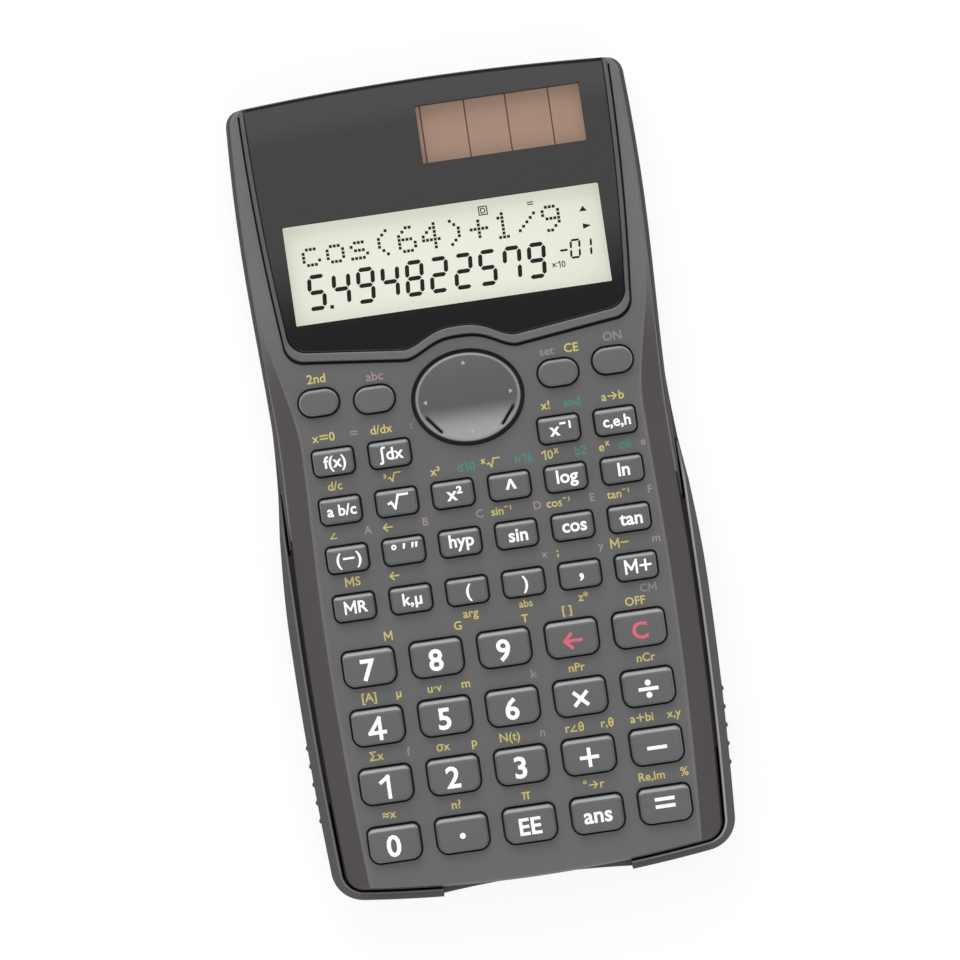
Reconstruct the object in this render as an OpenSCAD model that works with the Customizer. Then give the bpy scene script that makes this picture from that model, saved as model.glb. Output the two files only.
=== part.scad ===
// Pocket scientific calculator lying on its slide-on hard cover.
// X runs across the keys, Y towards the display end, Z up. The origin is at the
// middle of the whole object, on the surface that it lies on. Sizes are millimetres.

/* [Body] */
// Width of the front shell across the display
body_w = 78; // [77:0.2:79]
// Width of the body across the keypad, where the keypad half is widest
waist_w = 77.3; // [76.7:0.1:77.9]
// Length of the body
body_l = 157.2; // [155:0.2:165]
// How far the rear shell shows past the front shell beside the display
rim_w = 0.75; // [0.5:0.05:0.9]
// How much each side comes in towards the keypad end
end_taper = 1.85; // [1:0.05:2.2]
// How much each side comes in towards the display end
top_taper = 0.9; // [0.4:0.1:1.2]
// Thickness from the back to the keypad face
body_t = 11; // [10.6:0.1:12.5]
// Height of the rear shell, from the back to the parting line
split_h = 6.9; // [6.6:0.1:7.1]
// Thickness of the shells' outer walls at the parting line
wall_t = 2; // [1.8:0.1:2.2]
// Thickness of the front face
face_t = 1.8; // [1.4:0.1:2]
// Thickness of the rear shell's floor
floor_t = 1.8; // [1.4:0.1:2]
// Bow of the display end
top_bow = 1.5; // [0.5:0.1:2]
// Bow of the keypad end
low_bow = 2.8; // [1:0.1:3.2]
// Width of the sloping flank on each side of the keypad
flank_w = 3.8; // [3.4:0.2:4.2]
// Height of the sloping flank
flank_drop = 2.8; // [2:0.1:3.2]
// Length over which the flank fades out beside the display
flank_fade = 29; // [20:0.5:32]

/* [Display] */
// Height of the display deck above the keypad face
deck_rise = 1; // [0.8:0.1:1.4]
// Width of the deck's frame beside the window
frame_side = 1; // [0.8:0.1:1.6]
// Width of the deck's frame below the window
frame_low = 1.8; // [1.6:0.1:2.8]
// Thickness of the window
window_t = 1.2; // [1:0.1:1.5]
// Width of the visible liquid crystal field
lcd_w = 62; // [58:0.5:62.5]
// Height of the visible liquid crystal field
lcd_h = 19.4; // [17:0.2:20]
// Distance from the display end to the middle of that field
lcd_from_end = 35; // [34.4:0.1:35.6]
// Distance from the middle of the arrow pad to the middle of that field
pad_to_lcd = 28; // [27.8:0.1:28.4]
// Thickness of the liquid crystal glass
lcd_t = 1.8; // [1.4:0.1:2]
// Width of the visible solar cells
solar_w = 32.1; // [28:0.1:34]
// Height of the visible solar cells
solar_h = 11.3; // [10:0.1:12]
// Distance of the solar cells to the right of the middle
solar_x = 14; // [12:0.5:15]
// Distance from the body's side to the solar cells
solar_edge = 8.6; // [7.6:0.05:10.6]
// Distance from the display end to the middle of the solar cells
solar_from_end = 11.3; // [10.8:0.1:11.8]
// Thickness of the solar glass
solar_t = 1.1; // [0.8:0.1:1.4]
// Height of the hump in the deck's lower edge
hump_h = 3.2; // [2.5:0.1:3.6]
// Half of the hump's width
hump_w = 11; // [10:0.5:12]

/* [Keys] */
// Width of a digit key
digit_w = 10; // [9:0.1:10.4]
// Depth of a digit key
digit_h = 6.9; // [6.2:0.1:7.2]
// Distance between digit columns
digit_dx = 13.25; // [12.8:0.05:13.4]
// Distance from the body's side to the outer digit keys
digit_edge = 7.15; // [6.85:0.05:7.45]
// Distance between digit rows
digit_dy = 11.5; // [11:0.1:11.7]
// Distance from the keypad end to the lowest digit row
digit_from_end = 10.5; // [10.3:0.1:11]
// Width of a function key
function_w = 7.9; // [7:0.1:8.4]
// Depth of a function key
function_h = 5; // [4.4:0.1:5.4]
// Distance between function columns
function_dx = 11.05; // [10.6:0.05:11.3]
// Distance from the body's side to the outer function keys
function_edge = 7.075; // [6.75:0.025:7.45]
// Distance between function rows
function_dy = 9.5; // [9:0.1:9.6]
// Distance from the highest digit row to the lowest function row
function_gap = 12; // [11.5:0.1:12.2]
// Width of an oval key
oval_w = 7.8; // [7:0.1:8.2]
// Depth of an oval key
oval_h = 5.1; // [4.6:0.1:5.3]
// Sideways place of the outer oval keys
oval_outer_x = 28.8; // [28.4:0.1:29]
// Sideways place of the inner oval keys
oval_inner_x = 18; // [17.6:0.1:18.2]
// Distance from the body's side to the middle of the outer oval keys
oval_edge = 9.85; // [9.65:0.05:10.05]
// Height of the outer oval keys above the first function row
oval_outer_y = 11.8; // [11.7:0.1:12.2]
// Height of the inner oval keys above the first function row
oval_inner_y = 10.9; // [10.6:0.1:11.2]
// How far the keys stand above the keypad face
key_rise = 1.7; // [1.4:0.1:2]
// How far a key goes down
key_travel = 1.1; // [0.8:0.1:1.2]
// Gap between a key and its hole
key_gap = 0.28; // [0.2:0.02:0.4]
// Thickness of a key's retaining flange
flange_t = 0.8; // [0.6:0.1:1]
// How far the flange reaches past its key
flange_w = 0.6; // [0.5:0.05:0.7]

/* [Arrow pad] */
// Width of the arrow pad
pad_w = 20.6; // [19:0.2:21]
// Depth of the arrow pad
pad_h = 17.3; // [16:0.1:17.6]
// Height of the pad's middle above the first function row
pad_y_up = 8.7; // [8.6:0.1:9]
// How far the pad stands above the keypad face
pad_rise = 1.9; // [1.6:0.1:2.2]
// Gap between the pad and its hole
pad_gap = 0.7; // [0.6:0.05:0.8]
// Radius of the ball that the pad rocks on
pivot_r = 1.5; // [1.3:0.1:1.6]

/* [Inside] */
// Height of the circuit board above the rear shell's floor
board_rise = 2.5; // [2.2:0.1:2.6]
// Thickness of the circuit board
board_t = 1.2; // [1:0.1:1.4]
// Thickness of the rubber keypad's sheet
sheet_t = 0.7; // [0.5:0.1:0.8]
// Height of the rubber keypad's domes
dome_h = 1.3; // [1.2:0.1:1.4]
// Radius of the button cell
cell_r = 5.8; // [5.6:0.1:5.9]
// Height of the button cell
cell_h = 5.4; // [5:0.1:5.6]
// Radius of a case screw's shank
screw_r = 0.95; // [0.8:0.05:1]
// Radius of a case screw's head
head_r = 1.75; // [1.6:0.05:1.9]

/* [Slide-on cover] */
// Thickness of the cover's floor
cover_floor_t = 1.6; // [1.2:0.1:2]
// Gap between the cover's floor and the body's back
cover_back_gap = 0.8; // [0.5:0.1:1.2]
// Gap between the cover's walls and the body
cover_gap = 0.45; // [0.35:0.05:0.6]
// Thickness of the cover's walls beside the keypad
cover_wall = 2.05; // [1.6:0.05:2.2]
// How much each side of the cover comes in towards the display
cover_tuck = 2.2; // [2.1:0.05:2.4]
// Height of the cover's walls beside the keypad
cover_high = 10.4; // [10:0.1:10.6]
// How far the cover stops short of the display end
cover_short = 7; // [5:0.5:10]
// Width of the thumb notch
notch_w = 37.2; // [30:0.2:40]
// Depth of the thumb notch
notch_d = 0.9; // [0.6:0.1:1.4]
// Number of grip ribs on each side
rib_count = 5; // [3:1:7]
// Distance between grip ribs
rib_step = 3.6; // [3:0.1:4]
// Radius of a grip rib
rib_r = 0.6; // [0.5:0.05:0.8]

/* [Hidden] */
$fn = 48;
// Play that keeps seated pieces from sharing a face
seat_play = 0.1;
// Fit between pieces that are laid into a recess
fit_gap = 0.15;
eps = 0.01;

// Heights
z_back = cover_floor_t + cover_back_gap;
z_split = z_back + split_h;
z_face = z_back + body_t;
z_edge = z_face - flank_drop;
z_deck = z_face + deck_rise;
z_ledge = z_deck - window_t;
z_under = z_face - face_t;
z_floor = z_back + floor_t;
z_board = z_floor + board_rise;
z_board_top = z_board + board_t;
z_sheet = z_board_top + sheet_t;
z_dome = z_sheet + dome_h;
z_glass = z_under - seat_play;
z_pivot = z_board_top + seat_play / 2 + pivot_r;

// Lengths. The cover reaches past the keypad end, by less than it reaches past the sides.
cover_out = cover_gap + cover_wall;
end_share = 0.8;
notch_bow = low_bow * pow(notch_w / waist_w, 2);
whole_l = body_l + end_share * cover_out - notch_bow;
y_top = whole_l / 2;
y_end = y_top - body_l;
y_notch = -whole_l / 2;
y_cover_open = y_top - cover_short;

// Rows of keys. Spare length is shared by the gaps between the rows and the one below the display.
rows_l = 3 * digit_dy + function_gap + 3 * function_dy + pad_to_lcd;
row_slack = (body_l - digit_from_end - rows_l - pad_y_up - lcd_from_end) / 8;
digit_row = digit_dy + row_slack;
function_row = function_dy + row_slack;
y_digit = y_end + digit_from_end;
y_function = y_digit + 3 * digit_row + function_gap + row_slack;
y_first = y_function + 3 * function_row;
y_pad = y_first + pad_y_up;
y_lcd = y_top - lcd_from_end;
y_solar = y_top - solar_from_end;

// Columns of keys. Spare width is shared by the gaps between the columns and those at the sides.
digit_col = digit_dx + (waist_w - 4 * digit_dx - digit_w - 2 * digit_edge) / 6;
function_col = function_dx + (waist_w - 5 * function_dx - function_w - 2 * function_edge) / 7;
oval_slack = waist_w / 2 - oval_outer_x - oval_edge;
oval_outer = oval_outer_x + 0.8 * oval_slack;
oval_inner = oval_inner_x + 0.4 * oval_slack;
solar_mid = solar_x + (waist_w / 2 - solar_x - solar_w / 2 - solar_edge) / 2;

// Corners of the body, as superellipses: width, length and exponent
low_corner = [3.4, 3.4, 2.2];
top_corner = [3, 3.4, 2.2];
// How far the keypad face stays inside the body's outline
edge_in = 0.6;
// Places along the sides: where the keypad half is widest, where the flank starts to fade and the
// sides to widen, and where they are widest at the display
wide_from_end = 52.7;
flank_low = 6.6;
bulge_share = 0.62;
rim_start = 5;
tuck_start = 10;
y_wide = y_end + wide_from_end;
y_flank = y_pad - flank_low;
y_bulge = y_flank + bulge_share * (y_top - y_flank);

// Insets from the outline: shell cavities, lip and board
lip_t = 1;
lip_h = 0.9;
lip_gap = 0.2;
lip_in = wall_t + lip_gap;
rear_in = lip_in + lip_t;
front_in = rear_in + 0.8;
board_in = rear_in + 0.6;
sheet_in = board_in + 0.4;

// Groove in the rear shell's sides, and the cover's rails that run in it
groove_h = 1.2;
groove_d = 1.3;
groove_end = 1;
rail_gap = 0.25;
rail_from_end = 19.7;
rail_l = 49;
rail_from = y_end + rail_from_end;
rail_to = rail_from + rail_l;

// The cover: rounded lower edge as heights and insets, wall ramps, and ribs
cover_edge = [[0, 1.6], [0.6, 0.5], [2, 0]];
ramp_gap = 3.7;
ramp_l = 8.3;
rib_from_end = 31;
rib_low = 2.4;
rib_short = 0.8;
rib_sink = 0.25;
// Rounded lower edge of the rear shell as heights and insets
rear_edge = [[0, 2], [0.6, 0.7], [2, 0]];

// Deck and window
deck_margin = 2.2;
deck_top_in = 2.9;
deck_side_low = lcd_w / 2 + deck_margin;
deck_side_top = body_w / 2 - deck_top_in;
deck_straight = 4.3;
deck_slope = 0.117;
deck_corner = 4;
deck_clear = 2.9;
deck_end = 0.3;
hump_power = 1.4;
y_deck_low = y_pad + pad_h / 2 + pad_gap + deck_clear - hump_h;
y_deck_high = y_top - deck_straight;
window_roll = 2.4;
window_tilt = 16;

// Glass margins past what shows through the ledge
lcd_rim = [2.2, 2.8];
lcd_step = 1.5;
solar_rim = 0.7;
strip_w = 1.8;

// Key corners: radius at the upper and the lower corners, and the bevel
digit_corner = [1.2, 2];
function_corner = [0.8, 1.2];
bevel_h = 0.5;
bevel_in = 0.45;
stem_r = 1.7;
dome_low_r = 3;
dome_top_r = 2;
dome_wall = 0.5;
pad_flange_t = 0.5;
pad_flange_w = 1.3;
pad_dome_x = 7.4;
pad_dome_y = 6;

// Sealed chip on the board
chip_r = 6.5;
chip_low_r = 4;
chip_h = 1;

// Screws
boss_r = 1.9;
foot_r = 3;
screw_play = 0.25;
pilot_play = 0.05;
head_h = 1.1;
head_sink = 0.5;
cross_w = 0.5;
cross_d = 0.6;
screw_tip = z_under - 0.9;
screw_from_end = 4.1;
screw_edge = 7.65;
screw_out = solar_mid + solar_w / 2 + solar_rim + boss_r + 2 * fit_gap;
board_screws = [
    for (s = [-1, 1]) each [
        [s * screw_out, y_solar],
        [s * (waist_w / 2 - screw_edge),
         (y_first + oval_outer_y - oval_h / 2 + y_first + function_h / 2) / 2]
    ]
];
end_screws = [for (s = [-1, 1]) [s * 1.5 * digit_col, y_end + screw_from_end]];
screws = concat(board_screws, end_screws);

// Button cell and its contacts
cell_low = 0.4;
cell_play = 0.6;
cell_ring = 1.2;
leaf_t = 0.3;
leaf_w = 3;
leaf_foot = 3;
leaf_gap = 1.65;
cell_x = boss_r + leaf_gap + leaf_foot + cell_play + cell_r - screw_out;
cell_y = y_solar - cell_low;

// Every key: name, place and kind. Kinds are 0 digit, 1 function and 2 oval.
digit_rows = [
    ["key_0", "key_point", "key_exp", "key_ans", "key_equals"],
    ["key_1", "key_2", "key_3", "key_plus", "key_minus"],
    ["key_4", "key_5", "key_6", "key_times", "key_divide"],
    ["key_7", "key_8", "key_9", "key_delete", "key_all_clear"]
];
function_rows = [
    ["key_recall", "key_engineering", "key_open_bracket", "key_close_bracket", "key_comma", "key_memory"],
    ["key_negative", "key_degrees", "key_hyperbolic", "key_sine", "key_cosine", "key_tangent"],
    ["key_fraction", "key_root", "key_square", "key_power", "key_log", "key_natural_log"],
    ["key_calculate", "key_integral", "", "", "key_reciprocal", "key_constant"]
];
oval_keys = [
    ["key_shift", -oval_outer, oval_outer_y], ["key_alpha", -oval_inner, oval_inner_y],
    ["key_mode", oval_inner, oval_inner_y], ["key_on", oval_outer, oval_outer_y]
];
KEYS = concat(
    [for (r = [0:3]) for (c = [0:4]) [digit_rows[r][c], (c - 2) * digit_col, y_digit + r * digit_row, 0]],
    [for (r = [0:3]) for (c = [0:5]) if (function_rows[r][c] != "")
        [function_rows[r][c], (c - 2.5) * function_col, y_function + r * function_row, 1]],
    [for (k = oval_keys) [k[0], k[1], y_first + k[2], 2]]
);
KIND_SIZE = [[digit_w, digit_h], [function_w, function_h], [oval_w, oval_h]];
KIND_CORNER = [digit_corner, function_corner, [oval_h / 2, oval_h / 2]];

// Smooth step from 0 to 1
function smooth(t) = let (u = min(1, max(0, t))) u * u * (3 - 2 * u);

// Share of the flank that has faded out at a place along the body
function shoulder(y) = smooth((y - y_flank) / flank_fade);

// Half of the width at a place along the body. Forms are 0 for the inside, 1 for the front shell,
// 2 for the rear shell and 3 for the cover.
function side(y, form) =
    let (
        base = waist_w / 2 - end_taper * pow(max(0, y_wide - y) / (y_wide - y_end), 2),
        spread = (body_w / 2 + rim_w - waist_w / 2) * smooth((y - y_flank) / (y_bulge - y_flank))
            - top_taper * pow(max(0, y - y_bulge) / (y_top - y_bulge), 2),
        rim = rim_w * smooth((y - y_wide) / (y_flank + rim_start - y_wide)),
        tuck = cover_tuck * smooth((y - y_wide) / (y_flank + tuck_start - y_wide))
    )
    base + (form == 1 ? spread - rim : form == 2 ? spread : form == 3 ? -tuck : 0);

// Right half of the body's outline in one form, from the middle of the keypad end to the middle of
// the display end. Inset moves it inwards, and flank 1 takes the sloping flank off.
function half_outline(inset, form, flank) =
    let (
        lw = flank > 0 ? 0.4 : max(0.3, low_corner[0] - inset),
        ll = flank > 0 ? 0.4 : max(0.6, low_corner[1] - inset),
        tw = max(0.3, top_corner[0] - inset),
        tl = max(0.6, top_corner[1] - inset),
        low_inset = inset < 0 ? inset * end_share : inset,
        low = function (x) y_end + low_inset + low_bow * pow(x / (waist_w / 2), 2),
        top = function (x) y_top - inset - top_bow * pow(x / (body_w / 2), 2),
        y0 = y_end + low_inset + low_bow + ll,
        y1 = y_top - inset - top_bow - tl,
        low_hw = side(y0, form) - inset - flank * flank_w,
        top_hw = side(y1, form) - inset,
        stops = concat(
            [for (i = [1:5]) y0 + (y_wide - y0) * i / 6],
            [for (i = [0:6]) y_wide + (y_flank - y_wide) * i / 7],
            [for (i = [0:8]) y_flank + flank_fade * i / 8],
            [for (i = [1:5]) y_flank + flank_fade + (y1 - y_flank - flank_fade) * i / 6]
        )
    )
    concat(
        [for (i = [0:5]) let (x = (low_hw - lw) * i / 6) [x, low(x)]],
        [for (i = [0:8]) let (
            a = 90 - 90 * i / 8,
            x = low_hw - lw + lw * pow(cos(a), 2 / low_corner[2])
        ) [x, low(x) + (y0 - low(low_hw)) * (1 - pow(sin(a), 2 / low_corner[2]))]],
        [for (y = stops) [side(y, form) - inset - flank * flank_w * (1 - shoulder(y)), y]],
        [for (i = [0:8]) let (
            a = 90 * i / 8,
            x = top_hw - tw + tw * pow(cos(a), 2 / top_corner[2])
        ) [x, top(x) - (top(top_hw) - y1) * (1 - pow(sin(a), 2 / top_corner[2]))]],
        [for (i = [1:6]) let (x = (top_hw - tw) * (1 - i / 6)) [x, top(x)]]
    );

// Closes a right half whose first and last points lie on the middle line
function both_halves(half) =
    concat(half, [for (i = [len(half) - 2:-1:1]) [-half[i][0], half[i][1]]]);

function outline(inset, form = 0, flank = 0) = both_halves(half_outline(inset, form, flank));

// Lower edge of the deck: straight arms that meet a hump over the arrow pad
function deck_edge(x) =
    let (a = abs(x))
    y_deck_low + (a < hump_w
        ? hump_h * (0.5 + 0.5 * cos(180 * pow(a / hump_w, hump_power)))
        : (a - hump_w) * deck_slope);

// Side of the deck at a place along the body
function deck_side(y) =
    let (t = max(0, y_deck_high - y) / (y_deck_high - y_deck_low))
    deck_side_top - (deck_side_top - deck_side_low) * t * t;

// Outline of the deck, moved inwards by a frame at its sides and its lower edge
function deck_outline(side, low, end) =
    let (
        corner_y = deck_edge(deck_side_low) + low + deck_corner,
        cx = deck_side(corner_y) - side - deck_corner,
        cy = deck_edge(cx) + low + deck_corner,
        top_y = y_top - end,
        top_x = deck_side(top_y) - side,
        half = concat(
            [for (i = [0:14]) let (x = hump_w * i / 12) [x, deck_edge(x) + low]],
            [for (i = [0:6]) let (a = -90 + 90 * i / 6)
                [cx + deck_corner * cos(a), cy + deck_corner * sin(a)]],
            [for (i = [1:5]) let (y = cy + (y_deck_high - cy) * i / 5) [deck_side(y) - side, y]],
            [for (i = [0:6]) let (x = top_x * (1 - i / 6)) [x, top_y - top_bow * pow(x / (body_w / 2), 2)]]
        )
    )
    both_halves(half);

// Points of a rounded rectangle with one radius above and another below
function cap_points(w, h, r_high, r_low) = [
    for (q = [0:3]) for (i = [0:5]) let (
        r = q < 2 ? r_high : r_low,
        sx = q == 0 || q == 3 ? 1 : -1,
        sy = q < 2 ? 1 : -1,
        a = 90 * q + 18 * i
    ) [sx * (w / 2 - r) + r * cos(a), sy * (h / 2 - r) + r * sin(a)]
];

function ellipse_points(w, h, n) = [for (i = [0:n - 1]) [w / 2 * cos(360 * i / n), h / 2 * sin(360 * i / n)]];

// Solid between loops of points at rising heights, each loop as [height, points]. The loops run on
// past both ends and a block trims them, so that each end is one flat face.
module loft(loops) {
    last = len(loops) - 1;
    run = concat([[loops[0][0] - 1, loops[0][1]]], loops, [[loops[last][0] + 1, loops[last][1]]]);
    n = len(loops[0][1]);
    top = last + 2;
    intersection() {
        polyhedron(
            points = [for (l = run) for (p = l[1]) [p[0], p[1], l[0]]],
            faces = concat(
                [[for (i = [0:n - 1]) i]],
                [[for (i = [n - 1:-1:0]) top * n + i]],
                [for (k = [0:top - 1]) for (i = [0:n - 1]) let (j = (i + 1) % n)
                    each [[k * n + i, (k + 1) * n + i, (k + 1) * n + j],
                          [k * n + i, (k + 1) * n + j, k * n + j]]]
            )
        );
        block(0, 0, 2 * body_w, 2 * body_l, loops[0][0], loops[last][0]);
    }
}

// Upright prism of an outline between two heights
module slab(points, z0, z1) {
    translate([0, 0, z0]) linear_extrude(z1 - z0) polygon(points);
}

// Rectangular block centred on a place, between two heights
module block(x, y, w, h, z0, z1) {
    translate([x - w / 2, y - h / 2, z0]) cube([w, h, z1 - z0]);
}

// Upright cylinder at a place, between two heights
module post(p, r, z0, z1) {
    translate([p[0], p[1], z0]) cylinder(r = r, h = z1 - z0);
}

// Room for the liquid crystal glass between two heights
module lcd_pocket(z0, z1) {
    block(0, y_lcd, lcd_w + 2 * (lcd_rim[0] + fit_gap), lcd_h + 2 * (lcd_rim[1] + fit_gap), z0, z1);
}

module front_case() {
    color([0.36, 0.355, 0.36]) difference() {
        union() {
            difference() {
                union() {
                    slab(outline(0, 1), z_split, z_edge);
                    loft([[z_edge, outline(0, 1)], [z_face, outline(edge_in, 1, 1)]]);
                    slab(deck_outline(0, 0, deck_end), z_under, z_deck);
                }
                slab(outline(wall_t), z_split - eps, z_split + lip_h + lip_gap);
                slab(outline(front_in), z_split, z_under);
                lcd_pocket(z_glass - lcd_t - fit_gap, z_under);
                block(solar_mid, y_solar, solar_w + 2 * (solar_rim + fit_gap),
                    solar_h + 2 * (solar_rim + fit_gap), z_glass - solar_t - fit_gap, z_under);
                slab(deck_outline(frame_side - fit_gap, frame_low - fit_gap, -edge_in), z_ledge, z_deck + 1);
            }
            for (p = board_screws) post(p, boss_r, z_board_top, z_under + eps);
            for (p = end_screws) post(p, boss_r, z_board, z_under + eps);
        }
        block(0, y_lcd, lcd_w, lcd_h, z_under - 1, z_deck);
        block(solar_mid, y_solar, solar_w, solar_h, z_under - 1, z_deck);
        for (k = KEYS) translate([k[1], k[2], 0]) key_prism(k[3], key_gap, z_under - 1, z_deck);
        translate([0, y_pad, 0])
            slab(ellipse_points(pad_w + 2 * pad_gap, pad_h + 2 * pad_gap, 48), z_under - 1, z_deck);
        for (p = screws) post(p, screw_r + pilot_play, z_board - 1, screw_tip + 0.2);
    }
}

module rear_case() {
    color([0.2, 0.195, 0.195]) difference() {
        union() {
            difference() {
                union() {
                    loft(concat([for (e = rear_edge) [z_back + e[0], outline(e[1], 2)]],
                        [[z_split, outline(0, 2)]]));
                    slab(outline(lip_in), z_split - 1, z_split + lip_h);
                }
                slab(outline(rear_in), z_floor, z_split + lip_h + 1);
                for (s = [-1, 1])
                    block(s * (waist_w - groove_d), rail_to + groove_end - whole_l, waist_w, 2 * whole_l,
                        z_split - groove_h, z_split);
            }
            for (p = screws) post(p, foot_r, z_back + eps, z_board);
            difference() {
                post([cell_x, cell_y], cell_r + cell_play + cell_ring, z_floor - eps,
                    z_board - 2 * seat_play);
                post([cell_x, cell_y], cell_r + cell_play, z_floor - 1, z_board);
            }
        }
        for (p = screws) {
            post(p, screw_r + screw_play, z_back - 1, z_board + 1);
            post(p, head_r + screw_play, z_back - 1, z_back + head_sink + head_h);
            post(p, boss_r + fit_gap, z_board, z_split + lip_h + 1);
        }
        lcd_pocket(z_split, z_split + lip_h + 1);
    }
}

module slide_cover() {
    ramp = [rail_to + ramp_gap, rail_to + ramp_gap + ramp_l];
    rail_in = waist_w / 2 - groove_d + rail_gap;
    rail_out = waist_w / 2 + cover_gap + cover_wall / 2;
    color([0.24, 0.235, 0.235]) difference() {
        union() {
            difference() {
                loft(concat([for (e = cover_edge) [e[0], outline(e[1] - cover_out, 3)]],
                    [[cover_high, outline(-cover_out, 3)]]));
                slab(outline(-cover_gap), cover_floor_t, cover_high + 1);
            }
            for (s = [-1, 1]) {
                block(s * (rail_in + rail_out) / 2, rail_from + rail_l / 2, rail_out - rail_in, rail_l,
                    z_split - groove_h + rail_gap, z_split - rail_gap);
                for (i = [0:rib_count - 1]) let (y = y_end + rib_from_end - rib_step * i)
                    post([s * (side(y, 3) + cover_out - rib_sink), y], rib_r, rib_low,
                        cover_high - rib_short);
            }
        }
        // Walls ramp down to the floor before the display, and the floor stops short of its end
        rotate([90, 0, 90]) translate([0, 0, -body_w]) linear_extrude(2 * body_w)
            polygon([[ramp[0], cover_high + 1], [ramp[0], cover_high], [ramp[1], cover_floor_t],
                     [2 * y_top, cover_floor_t], [2 * y_top, cover_high + 1]]);
        block(0, y_cover_open + y_top, 2 * body_w, 2 * y_top, -1, cover_high + 1);
        // Thumb notch: the end wall is left out there, and the floor's edge is hollow
        block(0, y_notch, notch_w, 4 * cover_out, cover_floor_t, cover_high + 1);
        slab(concat([[notch_w / 2, y_notch - 1], [-notch_w / 2, y_notch - 1]],
            [for (i = [0:16]) let (t = i / 8 - 1) [t * notch_w / 2, y_notch + notch_d * (1 - t * t)]]),
            -1, cover_high + 1);
    }
}

module display_window() {
    color([0.07, 0.07, 0.07]) difference() {
        slab(deck_outline(frame_side, frame_low, deck_end), z_ledge, z_deck);
        translate([-body_w, y_top - deck_end - window_roll, z_deck]) rotate([-window_tilt, 0, 0])
            cube([2 * body_w, 4 * window_roll, body_t]);
    }
}

module lcd_glass() {
    w = lcd_w + 2 * lcd_rim[0];
    h = lcd_h + 2 * lcd_rim[1];
    color([0.84, 0.86, 0.79]) union() {
        block(0, y_lcd, w, h - 2 * lcd_step, z_glass - lcd_t / 2, z_glass);
        block(0, y_lcd, w, h, z_glass - lcd_t, z_glass - lcd_t / 2);
    }
}

module solar_panel() {
    color([0.6, 0.47, 0.4])
        block(solar_mid, y_solar, solar_w + 2 * solar_rim, solar_h + 2 * solar_rim,
            z_glass - solar_t, z_glass);
}

// Conductive rubber: strips under the display glass, and blocks under the solar cells
module elastomer_strips() {
    color([0.25, 0.25, 0.27]) {
        for (s = [-1, 1])
            block(0, y_lcd + s * (lcd_h / 2 + lcd_rim[1] - strip_w / 2), lcd_w, strip_w,
                z_board_top, z_glass - lcd_t);
        for (s = [-1, 1])
            block(solar_mid + s * (solar_w / 2 - strip_w), y_solar, strip_w, strip_w * 2,
                z_board_top, z_glass - solar_t);
    }
}

module circuit_board() {
    color([0.13, 0.35, 0.2]) difference() {
        union() {
            slab(outline(board_in), z_board, z_board_top);
            // Sealed chip on the underside, in the free space below the display
            translate([0, y_lcd, z_board - chip_h]) cylinder(r1 = chip_low_r, r2 = chip_r, h = chip_h + eps);
        }
        post([cell_x, cell_y], cell_r + cell_play, z_board - 1, z_board_top + 1);
        for (p = board_screws) post(p, screw_r + screw_play, z_board - 1, z_board_top + 1);
        for (p = end_screws) post(p, boss_r + 0.4, z_board - 1, z_board_top + 1);
    }
}

// One hollow dome, with its contact pill above the board
module dome(p) {
    translate([p[0], p[1], z_sheet - eps]) cylinder(r1 = dome_low_r, r2 = dome_top_r, h = dome_h + eps);
}

module dome_hollow(p) {
    pill_z = z_board_top + key_travel + seat_play;
    translate([p[0], p[1], z_board_top - eps]) difference() {
        cylinder(r1 = dome_low_r - dome_wall, r2 = dome_top_r - dome_wall,
            h = z_dome - z_board_top - dome_wall);
        translate([0, 0, pill_z - z_board_top]) cylinder(r = 0.9, h = dome_h);
    }
}

module rubber_keypad() {
    top = y_pad + pad_h / 2 + pad_gap;
    places = concat(
        [for (k = KEYS) [k[1], k[2]]],
        [for (s = [-1, 1]) each [[s * pad_dome_x, y_pad], [0, y_pad + s * pad_dome_y]]]
    );
    color([0.5, 0.5, 0.52]) difference() {
        union() {
            translate([0, 0, z_board_top]) linear_extrude(sheet_t) intersection() {
                polygon(outline(sheet_in));
                translate([-body_w, top - 2 * body_l]) square([2 * body_w, 2 * body_l]);
            }
            for (p = places) dome(p);
        }
        for (p = places) dome_hollow(p);
        for (p = screws) post(p, boss_r + 0.4, z_board_top - 1, z_dome);
        post([0, y_pad], pivot_r + 0.7, z_board_top - 1, z_dome);
    }
}

module button_cell() {
    color("silver") translate([cell_x, cell_y, z_floor]) union() {
        cylinder(r = cell_r, h = cell_h - 0.5);
        cylinder(r = cell_r - 1.4, h = cell_h);
    }
}

// Leaf on the cell's lid and clip on its rim, each with a foot on the board
module battery_contacts() {
    leaf_z = z_floor + cell_h;
    foot = leaf_foot;
    out = cell_r + cell_play;
    color("goldenrod") {
        translate([cell_x, cell_y - leaf_w / 2, 0]) union() {
            translate([-out - foot, 0, leaf_z]) cube([out + foot, leaf_w, leaf_t]);
            translate([-out - foot, 0, z_board_top]) cube([leaf_t, leaf_w, leaf_z - z_board_top + leaf_t]);
            translate([-out - foot, 0, z_board_top]) cube([foot - 0.5, leaf_w, leaf_t]);
        }
        translate([cell_x + cell_r + seat_play, cell_y - leaf_w / 2, 0]) union() {
            translate([0, 0, z_board]) cube([leaf_t, leaf_w, board_t + leaf_t]);
            translate([0, 0, z_board_top]) cube([cell_play + foot, leaf_w, leaf_t]);
        }
    }
}

module case_screws() {
    head_z = z_back + head_sink;
    color("silver") for (p = screws) difference() {
        union() {
            post(p, head_r, head_z, head_z + head_h);
            post(p, screw_r, head_z + head_h - eps, screw_tip);
        }
        for (a = [0, 90]) translate([p[0], p[1], head_z - eps]) rotate(a)
            translate([-head_r * 0.7, -cross_w / 2, 0]) cube([head_r * 1.4, cross_w, cross_d]);
    }
}

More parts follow.
